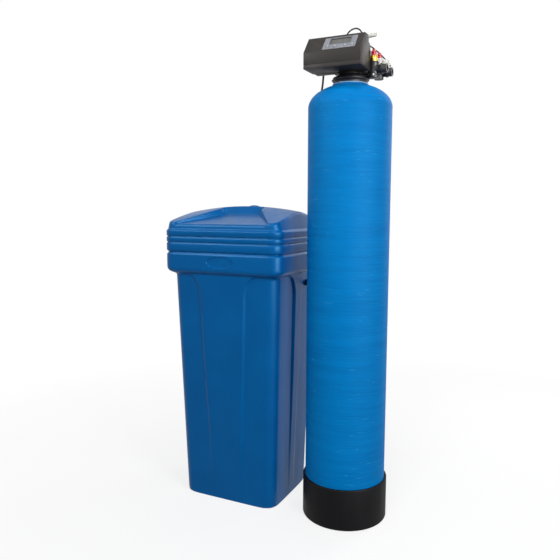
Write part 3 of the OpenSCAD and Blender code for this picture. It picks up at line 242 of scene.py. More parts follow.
# %% [markdown]
# ## Brine tank
# The tank is blow moulded: a drafted box with round corners, proud middle panels that flare under the
# rim and fade out towards the foot, and a wide rim. It could be a cube with loop cuts, but the panels'
# edges run aslant. So a flat grid is wrapped round it like a sheet: each column keeps its place in
# the plan, each row is one level, and a subdivision surface rounds the moulded edges.

# %% Sizes of the brine tank
BRINE_AT = Vector((-0.384, 0.0335, 0))
FOOT_HALF = Vector((0.173, 0.143))
TOP_HALF = Vector((0.195, 0.165))
BODY_H = 0.780
RIM_TOP = 0.852
RIM_OUT = 0.0225
CORNER_R = 0.036
CORNER_STEPS = 8
PANEL_PROUD = 0.007
PANEL_FADE_Z = 0.5
PANEL_SLOPE = 0.008
PANEL_LEAD = 0.005
PANEL_EDGE = 0.004
KNEE_Z = 0.705
FLARE_Z = 0.776
FRONT_PANEL = (0.048, 0.080, 0.120)
SIDE_PANEL = (0.014, 0.024, 0.070)


def panel_half(z, widths):
    foot, knee, flare = widths
    if z < KNEE_Z:
        return foot + (knee - foot) * max(z, 0) / KNEE_Z
    climb = min((z - KNEE_Z) / (FLARE_Z - KNEE_Z), 1)
    return flare - (flare - knee) * math.sqrt(1 - climb * climb)


print("front panel half width:", [round(panel_half(z, FRONT_PANEL), 3) for z in (0, KNEE_Z, FLARE_Z)])


# %% One level of the tank's plan
def side_stations(reach, panel):
    # places along one side, from corner to corner, each with its share of the panel's height
    rise = (0, 0, 0, 0.5, 1, 1, 1)
    foot = panel + PANEL_SLOPE
    half = (reach, foot + PANEL_LEAD, foot, panel + PANEL_SLOPE / 2, panel, panel - PANEL_EDGE,
            panel / 2)
    left = [(-x, share) for x, share in zip(half, rise)]
    right = [(x, share) for x, share in zip(half, rise)]
    return left + [(0, 1)] + right[::-1]


def tank_level(z, out, proud):
    # one closed ring round the tank at height z, moved out or in from the drafted box
    half = FOOT_HALF + (TOP_HALF - FOOT_HALF) * min(z / BODY_H, 1)
    fade = min(z / PANEL_FADE_Z, 1)
    ring = []
    for quarter in range(4):
        turn = Matrix.Rotation(math.radians(90 * quarter), 2)
        front = quarter % 2 == 0
        depth, width = (half.y, half.x) if front else (half.x, half.y)
        reach = width + max(out, 0) - CORNER_R
        panel = panel_half(z, FRONT_PANEL if front else SIDE_PANEL)
        for along, share in side_stations(reach, panel):
            lift = max(out, share * proud * fade) if proud else out
            ring.append(turn @ Vector((along, -depth - lift)))
        radius = CORNER_R + min(out, 0)
        for step in range(1, CORNER_STEPS):
            bend = math.radians(90 * step / CORNER_STEPS)
            ring.append(turn @ Vector((reach + radius * math.sin(bend),
                                       CORNER_R - depth - max(out, 0) - radius * math.cos(bend))))
    return [Vector((p.x, p.y, z)) + BRINE_AT for p in ring]


print("one level has", len(tank_level(0, 0, 0)), "points")

# %% Levels from the foot up the outside, over the rim and down the inside: height and way out
outside = [(0, -0.008), (0.0008, -0.0035), (0.003, -0.001), (0.008, 0), (0.040, 0), (0.150, 0),
           (0.300, 0), (0.450, 0), (0.600, 0), (0.690, 0), (0.705, 0), (0.715, 0), (0.728, 0),
           (0.741, 0), (0.753, 0), (0.763, 0), (0.770, 0), (0.774, 0.0005)]
rim = [(0.7775, 0.002), (0.7805, 0.008), (0.784, 0.0145), (0.789, 0.0195), (0.795, 0.022),
       (0.801, RIM_OUT), (0.820, RIM_OUT), (0.841, RIM_OUT), (0.8445, 0.0222), (0.8505, 0.0180),
       (RIM_TOP, 0.0172), (0.851, 0.0167), (0.846, 0.0165)]
inside = [(0.806, 0.0165), (0.799, 0.014), (0.786, -0.002), (0.778, -0.005), (0.600, -0.005),
          (0.300, -0.005), (0.025, -0.005), (0.010, -0.007), (0.0065, -0.012), (0.006, -0.018)]
tank_levels = ([tank_level(z, out, PANEL_PROUD) for z, out in outside]
               + [tank_level(z, out, PANEL_PROUD if z < BODY_H else 0) for z, out in rim]
               + [tank_level(z, out, 0) for z, out in inside])
print("tank sheet:", len(tank_levels), "levels of", len(tank_levels[0]), "points")


# %% Wrapping the sheet
def wrapped(levels):
    columns, rows = len(levels[0]), len(levels) - 1
    bm = bmesh.new()
    bmesh.ops.create_grid(bm, x_segments=columns, y_segments=rows, size=1)
    for v in bm.verts:
        i = round((v.co.x + 1) / 2 * columns)
        j = round((v.co.y + 1) / 2 * rows)
        v.co = levels[j][i % columns]
    bmesh.ops.remove_doubles(bm, verts=bm.verts, dist=MERGE_DISTANCE)
    bmesh.ops.holes_fill(bm, edges=[e for e in bm.edges if e.is_boundary], sides=0)
    bmesh.ops.recalc_face_normals(bm, faces=bm.faces)
    return bm


salt_bin = settle(wrapped(tank_levels), "salt_bin", "frame", ["brine_tank"], sharp=180)
rounding = salt_bin.modifiers.new("rounding", "SUBSURF")
rounding.levels = rounding.render_levels = 2

# %% [markdown]
# ## Oval pocket in the rim
# The rim's front has a shallow oval pocket with a flat floor. It could be drawn with a bump, but its
# edge has to catch the light from every side. So an oval plug with sloping sides is set into the face
# and taken away from the tank, as a pad in the mould would leave it.

# %% Cutting the pocket
OVAL_AT = BRINE_AT + Vector((0.004, -TOP_HALF.y - RIM_OUT, 0.821))
OVAL_HALF = (0.0505, 0.019)
OVAL_STEPS = 72
OVAL_MOUTH = (-0.001, 0.0007)
OVAL_FLOOR = (0.003, -0.0021)


def oval_level(depth, grow):
    turns = [math.tau * i / OVAL_STEPS for i in range(OVAL_STEPS)]
    return [OVAL_AT + Vector(((OVAL_HALF[0] + grow) * math.cos(turn), depth,
                              (OVAL_HALF[1] + grow) * math.sin(turn))) for turn in turns]


def cut_from(piece, bm, sharp):
    tool = bpy.data.objects.new("cutter", bpy.data.meshes.new("cutter"))
    bm.to_mesh(tool.data)
    bm.free()
    bpy.context.collection.objects.link(tool)
    carve = piece.modifiers.new("carve", "BOOLEAN")
    carve.operation = "DIFFERENCE"
    carve.object = tool
    graph = bpy.context.evaluated_depsgraph_get()
    finished = bpy.data.meshes.new_from_object(piece.evaluated_get(graph))
    piece.modifiers.clear()
    piece.data = finished
    finished.shade_smooth()
    finished.set_sharp_from_angle(angle=math.radians(sharp))
    bpy.data.objects.remove(tool)
    print(piece.name, "after the cut:", len(finished.polygons), "faces")


cut_from(salt_bin, wrapped([oval_level(*OVAL_MOUTH), oval_level(*OVAL_FLOOR)]), sharp=40)

# %% [markdown]
# ## Brine lid
# The lid is a crowned shell with ribs round its skirt, a fan-shaped hand recess that opens to the
# front, and a small pad on its ridge. It could be sculpted, but the recess has plain rules: a tilted
# floor, walls that steepen towards the mouth and a sloping back. A fine grid is pressed into that
# height, with its columns spread so that one follows the foot of the walls and one their crest. Then
# its border is extruded step by step down the skirt, and Solidify gives it a wall.

# %% Height of the crown
LID_HALF = Vector((0.2175, 0.1875))
CROWN_INSET = 0.0165
CROWN_HALF = LID_HALF - Vector((CROWN_INSET, CROWN_INSET))
CORNER_AT = LID_HALF - Vector((CORNER_R, CORNER_R))
SHOULDER_TOP = 0.951
RIDGE_END = 0.985
RIDGE_RISE = 0.018
CROWN_BEND = 1.3
PAD_AT = (0.018, 0.030)
PAD_HALF = (0.027, 0.014)
PAD_RISE = 0.0085
PAD_BEND = 0.7


def crown_height(x, y):
    ridge = RIDGE_END + RIDGE_RISE * (1 - (x / CROWN_HALF.x) ** 2)
    pad = math.hypot((x - PAD_AT[0]) / PAD_HALF[0], (y - PAD_AT[1]) / PAD_HALF[1])
    fall = min(abs(y) / CROWN_HALF.y, 1) ** CROWN_BEND
    bump = PAD_RISE * max(1 - pad * pad, 0) ** PAD_BEND
    return SHOULDER_TOP + (ridge - SHOULDER_TOP) * (1 - fall) + bump


print("crown:", round(crown_height(0, 0), 4), "m high in its middle")

# %% Height of the hand recess
RECESS_BACK = -0.025
RECESS_CLIMB = 0.068
RECESS_STEEP = 1.0
RECESS_TIP = -0.036
RECESS_MOUTH = -0.1635
RECESS_HALF = (0.069, 0.165)
RECESS_WALL = (1.8, 2.4)
RECESS_BAND_MIN = 0.004
RECESS_FLOOR = 0.9468
RECESS_TILT = math.radians(11.6)


def recess_opening(y):
    return max(RECESS_TIP - y, 0) / (RECESS_TIP - RECESS_MOUTH)


def recess_edge(y):
    return RECESS_HALF[0] + (RECESS_HALF[1] - RECESS_HALF[0]) * recess_opening(y)


def recess_height(x, y):
    floor = RECESS_FLOOR + math.tan(RECESS_TILT) * (y - RECESS_MOUTH)
    steepness = RECESS_WALL[0] + RECESS_WALL[1] * recess_opening(y)
    side = steepness * max(abs(x) - recess_edge(y), 0)
    return floor + math.hypot(side, RECESS_STEEP * max(y - RECESS_BACK, 0))


def recess_crest(y):
    # where the recess's wall meets the crown, found by halving
    low, high = recess_edge(y), CROWN_HALF.x
    for halving in range(24):
        middle = (low + high) / 2
        if recess_height(middle, y) < crown_height(middle, y):
            low = middle
        else:
            high = middle
    return max(high, recess_edge(y) + RECESS_BAND_MIN)


print("recess: half width", recess_edge(RECESS_TIP), "at its back,", round(recess_edge(RECESS_MOUTH), 3),
      "at its mouth")

# %% Where each point of the grid goes
COLUMN_STOPS = (0.45, 0.7)
ROW_STOPS = (-0.1, 0.4)


def in_round_corner(p):
    # squeezes the grid's square corner into a quarter disc
    x, y = abs(p.x) - CORNER_AT.x, abs(p.y) - CORNER_AT.y
    if x <= 0 or y <= 0:
        return p
    r = CORNER_R - CROWN_INSET
    s, t = x / r, y / r
    x, y = r * s * math.sqrt(1 - t * t / 2), r * t * math.sqrt(1 - s * s / 2)
    return Vector((math.copysign(CORNER_AT.x + x, p.x), math.copysign(CORNER_AT.y + y, p.y)))


def spread(share, stops):
    # where a share along the grid lands between the two stops around it
    for (s0, p0), (s1, p1) in zip(stops, stops[1:]):
        if share <= s1:
            return p0 + (p1 - p0) * (share - s0) / (s1 - s0)
    return stops[-1][1]


def lid_spot(a, b):
    y = spread(b, [(-1, -CROWN_HALF.y), (ROW_STOPS[0], RECESS_BACK),
                   (ROW_STOPS[1], RECESS_BACK + RECESS_CLIMB), (1, CROWN_HALF.y)])
    x = spread(abs(a), [(0, 0), (COLUMN_STOPS[0], recess_edge(y)), (COLUMN_STOPS[1], recess_crest(y)),
                        (1, CROWN_HALF.x)])
    return in_round_corner(Vector((math.copysign(x, a), y)))


print("a middle point of the grid goes to", [round(v, 4) for v in lid_spot(0.5, -0.5)])

# %% Pressing the crown out of the grid
LID_COLUMNS = 120
LID_ROWS = 100
RECESS_BLEND = 0.003


def soft_lower(a, b, blend):
    # the lower of two heights, blended where they are close
    near = max(blend - abs(a - b), 0) / blend
    return min(a, b) - near * near * blend / 4


lid_bm = bmesh.new()
bmesh.ops.create_grid(lid_bm, x_segments=LID_COLUMNS, y_segments=LID_ROWS, size=1)
for v in lid_bm.verts:
    p = lid_spot(v.co.x, v.co.y)
    v.co = (p.x, p.y, soft_lower(crown_height(p.x, p.y), recess_height(p.x, p.y), RECESS_BLEND))
print("crown:", len(lid_bm.faces), "faces, top at", round(max(v.co.z for v in lid_bm.verts), 4))

# %% Extruding the border down the skirt: insets, drops and heights in millimetres
LID_WALL = 0.004
crown_lip = [(14.2, 11.5, 1.2), (12.6, 7.8, 3.3), (11.8, 6.3, 4.5)]
skirt = [(6.5, 930), (6.2, 928.5), (5.4, 927.2), (1.2, 922.8), (0.3, 921.5), (0, 919.8),
         (0, 905.4), (0.8, 904.6), (3.2, 904.1), (3.4, 903.2), (2.2, 901.4), (0.7, 899.6), (0, 897.4),
         (0, 886.2), (0.8, 885.4), (3.2, 884.9), (3.4, 884), (2.2, 882.2), (0.7, 880.4), (0, 878.2),
         (0, 858), (0.9, 856), (3.2, 854.6), (4.2, 852.4), (6.4, 852.4), (6.4, 838.5)]


def border_out(bm, border, inset_x, inset_y, place_z):
    # adds one row of faces along the border, inset from the lid's outer edge
    made = bmesh.ops.extrude_edge_only(bm, edges=border)["geom"]
    fresh = [g for g in made if isinstance(g, bmesh.types.BMVert)]
    for v in fresh:
        core = Vector((max(-CORNER_AT.x, min(v.co.x, CORNER_AT.x)),
                       max(-CORNER_AT.y, min(v.co.y, CORNER_AT.y))))
        way = (v.co.xy - core).normalized()
        inset = inset_x * way.x ** 2 + inset_y * way.y ** 2
        spot = core + way * (CORNER_R - inset)
        v.co = (spot.x, spot.y, place_z(v.co.z))
    kept = set(fresh)
    return [g for g in made if isinstance(g, bmesh.types.BMEdge) and kept.issuperset(g.verts)]


border = [e for e in lid_bm.edges if e.is_boundary]
for inset_x, inset_y, drop in crown_lip:
    border = border_out(lid_bm, border, inset_x / 1000, inset_y / 1000, lambda z: z - drop / 1000)
for inset, level in skirt:
    border = border_out(lid_bm, border, inset / 1000, inset / 1000, lambda z: level / 1000)
bmesh.ops.translate(lid_bm, verts=lid_bm.verts, vec=BRINE_AT)
bmesh.ops.recalc_face_normals(lid_bm, faces=lid_bm.faces)
ribbed_lid = settle(lid_bm, "ribbed_lid", body_of["brine_lid"], ["brine_lid"], sharp=60)
wall = ribbed_lid.modifiers.new("wall", "SOLIDIFY")
wall.thickness = LID_WALL
wall.offset = -1

# %% [markdown]
# ## Soft edges for the head's hard parts
# The casing, valve, bypass and handles have the right shape already, but a moulded edge is never
# sharp. A Bevel modifier would round every seam of the loose triangles, so a copy of the node's mesh
# is merged, its flat triangles are joined, and only the sharp edges get a small round bevel.

# %% A node with round edges
FLAT_ENOUGH = math.radians(0.5)
SHARP_EDGE = math.radians(35)


def softened(node, width):
    # a copy of a node's mesh with its sharp edges rounded
    bm = bmesh.new()
    bm.from_mesh(nodes[node].data)
    bmesh.ops.remove_doubles(bm, verts=bm.verts, dist=MERGE_DISTANCE)
    bmesh.ops.dissolve_limit(bm, angle_limit=FLAT_ENOUGH, verts=bm.verts, edges=bm.edges)
    hard = [e for e in bm.edges if e.is_manifold and e.calc_face_angle(0) > SHARP_EDGE]
    bmesh.ops.bevel(bm, geom=hard, offset=width, segments=2, profile=0.5, affect="EDGES",
                    material=-1, clamp_overlap=True)
    return settle(bm, "soft_" + node, body_of[node], [node])


edge_widths = {
    "front_cover": 0.0018, "rear_housing": 0.0016, "valve_body": 0.001, "bypass_body": 0.0008,
    "inlet_handle": 0.0012, "outlet_handle": 0.0012, "inlet_gland": 0.0004, "outlet_gland": 0.0012,
    "meter_cap": 0.0008, "meter_sensor": 0.0005, "brine_nut": 0.0007, "brine_elbow": 0.0005,
    "drain_elbow": 0.0004, "brine_gland": 0.0008, "overflow_fitting": 0.0008, "power_jack": 0.0004,
    "cable_gland": 0.0006, "button_menu": 0.0008, "button_manual": 0.0008, "button_down": 0.0008,
    "button_up": 0.0008, "well_cap": 0.0012, "steel_screws": 0.0004, "panel_overlay": 0.0002}
soft_pieces = {node: softened(node, width) for node, width in edge_widths.items()}

# %% [markdown]
# ## Finishes
# Most pieces are moulded plastic: a colour that clouds a little, a gloss that follows the flow in the
# mould, and a fine grain. Metal has streaks instead. Each material could hold its own noise, but two
# node groups carry what they share. What is the same all over a surface, such as how much it shines
# and the tint of its sheen, is set on the shader itself.


# %% Colours
def srgb(r, g, b):
    return tuple(c / 12.92 if c <= 0.04045 else ((c + 0.055) / 1.055) ** 2.4
                 for c in (r / 255, g / 255, b / 255)) + (1.0,)


print("a mid grey of 128 is", round(srgb(128, 128, 128)[0], 3), "in linear light")


# %% Node helpers: each adds a node to a tree and gives back its output
def feed(tree, socket, setting):
    # links an output, or sets a plain value
    if hasattr(setting, "links"):
        tree.links.new(setting, socket)
    else:
        socket.default_value = setting


def stretched(tree, scale=(1, 1, 1), turn=(0, 0, 0), shift=(0, 0, 0)):
    place = tree.nodes.new("ShaderNodeTexCoord")
    mapping = tree.nodes.new("ShaderNodeMapping")
    mapping.inputs["Location"].default_value = shift
    mapping.inputs["Rotation"].default_value = turn
    mapping.inputs["Scale"].default_value = scale
    tree.links.new(place.outputs["Object"], mapping.inputs["Vector"])
    return mapping.outputs["Vector"]


def noise_on(tree, vector, scale, detail):
    noise = tree.nodes.new("ShaderNodeTexNoise")
    feed(tree, noise.inputs["Scale"], scale)
    noise.inputs["Detail"].default_value = detail
    tree.links.new(vector, noise.inputs["Vector"])
    return noise.outputs["Fac"]


def ranged(tree, value, low, high, start=0.3, end=0.7):
    span = tree.nodes.new("ShaderNodeMapRange")
    for label, setting in (("From Min", start), ("From Max", end), ("To Min", low), ("To Max", high)):
        feed(tree, span.inputs[label], setting)
    tree.links.new(value, span.inputs["Value"])
    return span.outputs["Result"]


def mixed(tree, share, first, second):
    mix = tree.nodes.new("ShaderNodeMix")
    mix.data_type = "RGBA"
    sockets = {socket.identifier: socket for socket in mix.inputs}
    for identifier, setting in (("Factor_Float", share), ("A_Color", first), ("B_Color", second)):
        feed(tree, sockets[identifier], setting)
    return next(socket for socket in mix.outputs if socket.identifier == "Result_Color")


def calc(tree, operation, *values):
    step = tree.nodes.new("ShaderNodeMath")
    step.operation = operation
    for socket, value in zip(step.inputs, values):
        feed(tree, socket, value)
    return step.outputs["Value"]


# %% The moulded and drawn groups
def group_with(name, inputs, outputs):
    group = bpy.data.node_groups.new(name, "ShaderNodeTree")
    for label, kind in inputs:
        group.interface.new_socket(label, in_out="INPUT", socket_type="NodeSocket" + kind)
    for label, kind in outputs:
        group.interface.new_socket(label, in_out="OUTPUT", socket_type="NodeSocket" + kind)
    return group, group.nodes.new("NodeGroupInput"), group.nodes.new("NodeGroupOutput")


surface_outputs = [("Colour", "Color"), ("Roughness", "Float"), ("Height", "Float")]
moulded_group, given, result = group_with(
    "moulded_surface",
    [("Colour", "Color"), ("Shade", "Color"), ("Gloss low", "Float"), ("Gloss high", "Float"),
     ("Grain size", "Float")],
    surface_outputs)
plain = stretched(moulded_group)
cloud = ranged(moulded_group, noise_on(moulded_group, plain, 9, 3), 0, 1)
flow = noise_on(moulded_group, stretched(moulded_group, (30, 30, 12)), 1, 2)
clouded = mixed(moulded_group, cloud, given.outputs["Colour"], given.outputs["Shade"])
gloss = ranged(moulded_group, flow, given.outputs["Gloss low"], given.outputs["Gloss high"])
grain = noise_on(moulded_group, plain, given.outputs["Grain size"], 2)
moulded_group.links.new(clouded, result.inputs["Colour"])
moulded_group.links.new(gloss, result.inputs["Roughness"])
moulded_group.links.new(grain, result.inputs["Height"])

drawn_group, given, result = group_with(
    "drawn_metal", [("Colour", "Color"), ("Tarnish", "Color")], surface_outputs)
streak = noise_on(drawn_group, stretched(drawn_group, (60, 60, 900)), 1, 3)
patch = ranged(drawn_group, noise_on(drawn_group, stretched(drawn_group), 120, 2), 0, 1)
tarnished = mixed(drawn_group, patch, given.outputs["Colour"], given.outputs["Tarnish"])
drawn_group.links.new(tarnished, result.inputs["Colour"])
drawn_group.links.new(ranged(drawn_group, streak, 0.22, 0.42), result.inputs["Roughness"])
drawn_group.links.new(streak, result.inputs["Height"])
print("node groups:", [group.name for group in (moulded_group, drawn_group)])

# %% Finish makers
MOULD_GRAIN_DEPTH = 0.0004
METAL_STREAK_DEPTH = 0.0002


def blank_finish(name):
    finish = bpy.data.materials.new(name)
    finish.use_nodes = True
    return finish, finish.node_tree, finish.node_tree.nodes["Principled BSDF"]


def bumped(tree, shader, height, strength, distance):
    bump = tree.nodes.new("ShaderNodeBump")
    bump.inputs["Strength"].default_value = strength
    bump.inputs["Distance"].default_value = distance
    tree.links.new(height, bump.inputs["Height"])
    tree.links.new(bump.outputs["Normal"], shader.inputs["Normal"])


def from_group(name, group, settings, strength, distance):
    finish, tree, shader = blank_finish(name)
    layer = tree.nodes.new("ShaderNodeGroup")
    layer.node_tree = group
    for label, value in settings.items():
        layer.inputs[label].default_value = value
    tree.links.new(layer.outputs["Colour"], shader.inputs["Base Color"])
    tree.links.new(layer.outputs["Roughness"], shader.inputs["Roughness"])
    bumped(tree, shader, layer.outputs["Height"], strength, distance)
    return finish, shader


def moulded(name, colour, shade, gloss=(0.35, 0.5), grain=900, strength=0.15, shine=0.3,
            sheen=(1, 1, 1)):
    settings = {"Colour": srgb(*colour), "Shade": srgb(*shade), "Gloss low": gloss[0],
                "Gloss high": gloss[1], "Grain size": grain}
    finish, shader = from_group(name, moulded_group, settings, strength, MOULD_GRAIN_DEPTH)
    shader.inputs["Specular IOR Level"].default_value = shine
    shader.inputs["Specular Tint"].default_value = (*sheen, 1)
    return finish


def drawn(name, colour, tarnish):
    settings = {"Colour": srgb(*colour), "Tarnish": srgb(*tarnish)}
    finish, shader = from_group(name, drawn_group, settings, 0.1, METAL_STREAK_DEPTH)
    shader.inputs["Metallic"].default_value = 1
    return finish


print("grain depth in metres:", MOULD_GRAIN_DEPTH, "on plastic,", METAL_STREAK_DEPTH, "on metal")

# %% [markdown]
# ## Wound fibre
# Glass strands are wound round the vessel and painted over. They show as long level streaks, a few
# millimetres high, with small lumps. Pale glints are painted into the colour as small flecks, a
# painted highlight. A wave texture would be too even, so a noise stretched along the circumference
# gives the streaks, and rounder ones the lumps and the painted glints; they drive colour, gloss and
# bump. The sheen is tinted blue, as pigmented resin keeps its colour.

# %% Wound fibre finish
LUMP_SHARE = 0.8
WINDING_DEPTH = 0.0009
wound_fibre, tree, shader = blank_finish("wound_fibre")
strands = noise_on(tree, stretched(tree, (8, 8, 400)), 1, 4)
wraps = noise_on(tree, stretched(tree, (5, 5, 60)), 1, 2)
lumps = noise_on(tree, stretched(tree, (55, 55, 150)), 1, 2)
painted_glints = noise_on(tree, stretched(tree, (24, 24, 170), shift=(3, 1, 2)), 1, 2)
tint = mixed(tree, ranged(tree, wraps, 0, 1), srgb(0, 112, 184), srgb(0, 122, 195))
tint = mixed(tree, ranged(tree, strands, 0, 0.5, 0.48, 0.72), tint, srgb(12, 138, 204))
# pale spots painted into the colour as glints: a painted highlight
tint = mixed(tree, ranged(tree, painted_glints, 0, 0.4, 0.66, 0.76), tint, srgb(70, 168, 226))
tree.links.new(tint, shader.inputs["Base Color"])
tree.links.new(ranged(tree, strands, 0.5, 0.62), shader.inputs["Roughness"])
bumped(tree, shader, calc(tree, "MULTIPLY_ADD", lumps, LUMP_SHARE, strands), 0.35, WINDING_DEPTH)
shader.inputs["Specular IOR Level"].default_value = 0.1
shader.inputs["Specular Tint"].default_value = (0.2, 0.6, 1, 1)
print(wound_fibre.name, len(tree.nodes), "nodes")

# %% [markdown]
# ## One finish for each slot
# The record gives every node a material slot, such as valve_black or brass. Each finish could be a
# cell of its own, but most differ only in colour, gloss and grain, so one call makes each of them,
# for the tanks, the fittings and the hidden inner pieces alike. The brine tank's blue is glossy
# enough to draw a light line along its corners.

# %% Moulded and drawn finishes, by slot
finishes = {
    "shell_blue": wound_fibre,
    "liner": moulded("liner_plastic", (214, 208, 190), (196, 190, 172)),
    "boot_black": moulded("cup_rubber", (12, 12, 15), (8, 8, 11), gloss=(0.45, 0.6), grain=1400,
                          strength=0.3, shine=0.1),
    "white_plastic": moulded("white_nylon", (222, 222, 216), (206, 206, 200), gloss=(0.4, 0.5),
                             shine=0.1),
    "grey_plastic": moulded("grey_plastic", (118, 120, 122), (104, 106, 108)),
    "resin": moulded("resin_beads", (196, 124, 52), (148, 84, 30), gloss=(0.3, 0.6), grain=1500,
                     strength=0.8),
    "valve_black": moulded("glass_filled_black", (32, 32, 35), (24, 24, 27), gloss=(0.32, 0.5),
                           grain=1100, strength=0.25),
    "case_charcoal": moulded("casing_charcoal", (50, 46, 44), (43, 40, 39), gloss=(0.45, 0.58),
                             grain=1600, strength=0.3, shine=0.12),
    "board": moulded("circuit_green", (22, 84, 48), (16, 66, 38), gloss=(0.3, 0.4), grain=500,
                     strength=0.2),
    "button_grey": moulded("key_grey", (158, 160, 164), (148, 150, 154), gloss=(0.4, 0.5), shine=0.15),
    "ceramic": moulded("disc_ceramic", (236, 234, 228), (226, 224, 218), gloss=(0.12, 0.2), grain=400,
                       strength=0.05),
    "red_plastic": moulded("tap_red", (196, 26, 46), (172, 18, 36), gloss=(0.2, 0.32), grain=700,
                           strength=0.08),
    "seal_rubber": moulded("seal_rubber", (24, 24, 24), (16, 16, 16), gloss=(0.5, 0.65), grain=1500,
                           strength=0.3),
    "cord_black": moulded("cord_jacket", (34, 34, 36), (24, 24, 26), gloss=(0.38, 0.5), grain=800),
    "tank_blue": moulded("bin_blue", (0, 92, 158), (0, 86, 150), gloss=(0.28, 0.36), grain=420,
                         strength=0.04, shine=0.18, sheen=(0.3, 0.7, 1)),
    "turbine_blue": moulded("turbine_blue", (40, 90, 170), (30, 76, 150)),
    "float_red": moulded("float_red", (206, 76, 44), (186, 62, 34)),
    "steel": drawn("drawn_steel", (186, 188, 190), (160, 162, 166)),
    "brass": drawn("turned_brass", (190, 156, 74), (164, 128, 58)),
}
print("finishes so far:", len(finishes))

# %% [markdown]
# ## Control panel
# The overlay is a printed membrane: silver grey, a darker frame round the window and a thin ring round
# each key. The print could be thin meshes, but a real print has no height, so it is drawn in the
# material, in the panel's own plane: the coordinates are turned back by the slope's angle, so X runs
# across the panel and Y up it. The display is a plain grey screen behind a smoked film.

# %% Panel plane
SLOPE_RISE = 49
SLOPE_RUN = 40
PANEL_AT = Vector((0.002, -0.100, 1.4725))
slope = math.atan2(SLOPE_RISE, SLOPE_RUN)
panel_zero = Matrix.Rotation(-slope, 3, "X") @ PANEL_AT
panel_grey, panel_tree, panel_shader = blank_finish("panel_print")
flat = panel_tree.nodes.new("ShaderNodeSeparateXYZ")
panel_tree.links.new(stretched(panel_tree, turn=(-slope, 0, 0)), flat.inputs["Vector"])
across = calc(panel_tree, "SUBTRACT", flat.outputs["X"], panel_zero.x)
up = calc(panel_tree, "SUBTRACT", flat.outputs["Y"], panel_zero.y)
print("panel slope:", round(math.degrees(slope), 1), "degrees")


# %% Panel print
FRAME_AT = (0, 0.0065)
FRAME_HALF = (0.0335, 0.0145)
KEY_XS = (-0.035, -0.013, 0.019, 0.040)
KEY_Y = -0.016
KEY_RING_R = 0.0058
KEY_RING_W = 0.0009
FOIL_GRAIN_DEPTH = 0.0002


def on_panel(operation, *values):
    return calc(panel_tree, operation, *values)


def box_mask(at, half):
    dx = on_panel("SUBTRACT", on_panel("ABSOLUTE", on_panel("SUBTRACT", across, at[0])), half[0])
    dy = on_panel("SUBTRACT", on_panel("ABSOLUTE", on_panel("SUBTRACT", up, at[1])), half[1])
    return on_panel("LESS_THAN", on_panel("MAXIMUM", dx, dy), 0)


def ring_mask(at, radius, width):
    dx = on_panel("SUBTRACT", across, at[0])
    dy = on_panel("SUBTRACT", up, at[1])
    squares = on_panel("ADD", on_panel("MULTIPLY", dx, dx), on_panel("MULTIPLY", dy, dy))
    off = on_panel("ABSOLUTE", on_panel("SUBTRACT", on_panel("SQRT", squares), radius))
    return on_panel("LESS_THAN", off, width / 2)


ink = box_mask(FRAME_AT, FRAME_HALF)
for key_x in KEY_XS:
    ink = on_panel("MAXIMUM", ink, ring_mask((key_x, KEY_Y), KEY_RING_R, KEY_RING_W))
band = noise_on(panel_tree, stretched(panel_tree, (40, 40, 40)), 1, 2)
foil = mixed(panel_tree, ranged(panel_tree, band, 0, 1), srgb(134, 136, 143), srgb(125, 127, 135))
printed = mixed(panel_tree, ink, foil, srgb(92, 95, 103))
panel_tree.links.new(printed, panel_shader.inputs["Base Color"])
panel_tree.links.new(ranged(panel_tree, band, 0.34, 0.46), panel_shader.inputs["Roughness"])
panel_shader.inputs["Specular IOR Level"].default_value = 0.2
foil_grain = noise_on(panel_tree, stretched(panel_tree), 1800, 1)
bumped(panel_tree, panel_shader, foil_grain, 0.08, FOIL_GRAIN_DEPTH)
finishes["overlay_grey"] = panel_grey
print(panel_grey.name, len(panel_tree.nodes), "nodes")


# %% Display screen and its film
def display_layer(name, patches, colours, roughness, shine=0.5, alpha=1):
    finish, tree, shader = blank_finish(name)
    noise = noise_on(tree, stretched(tree), patches, 2)
    tree.links.new(mixed(tree, ranged(tree, noise, 0, 1), *colours), shader.inputs["Base Color"])
    tree.links.new(ranged(tree, noise, *roughness), shader.inputs["Roughness"])
    shader.inputs["Specular IOR Level"].default_value = shine
    shader.inputs["Alpha"].default_value = alpha
    return finish


finishes["lcd"] = display_layer(
    "display_screen", 60, (srgb(156, 156, 149), srgb(146, 147, 140)), (0.3, 0.4))
finishes["lens"] = display_layer(
    "display_glass", 80, (srgb(104, 104, 101), srgb(94, 95, 92)), (0.05, 0.12), shine=0.2, alpha=0.3)
print("finishes:", len(finishes))

# %% [markdown]
# ## Dressing the frame
# Finishes could be picked piece by piece. Here every CAD node and every new piece takes the finish of
# its record slot, so a later repaint by slot reaches all of them. The collar ring is the one
# exception: its pale blue white is a painted highlight along the neck's edge.


# %% Give out the finishes
def paint(piece, finish):
    if piece.material_slots:
        for held in piece.material_slots:
            held.material = finish
    else:
        piece.data.materials.append(finish)


for node, part in nodes.items():
    paint(part, finishes[slot_of[node]])
for node, piece in soft_pieces.items():
    paint(piece, finishes[slot_of[node]])
new_pieces = [(wound_vessel, "shell_blue"), (base_cup, "boot_black"), (salt_bin, "tank_blue"),
              (ribbed_lid, "tank_blue"), (brine_tube, "cord_black"), (meter_cable, "cord_black")]
for piece, slot in new_pieces:
    paint(piece, finishes[slot])
# pale blue white that stands for the neck's highlight: a painted highlight
paint(collar_highlight_ring, moulded("painted_neck_highlight", (168, 198, 226), (150, 184, 216), gloss=(0.3, 0.45)))
print("painted", len(nodes), "nodes and", len(soft_pieces) + len(new_pieces) + 1, "pieces")

# %% [markdown]
# ## Floor and background
# The object stands on a plain pale floor before white. A bright world would bleach the object, so the
# world is white only where the camera or a reflection sees it, and softer where it lights. The floor
# fades into that white with distance and keeps a faint shadow near the feet.

# %% World
WORLD_LIGHT = 0.4


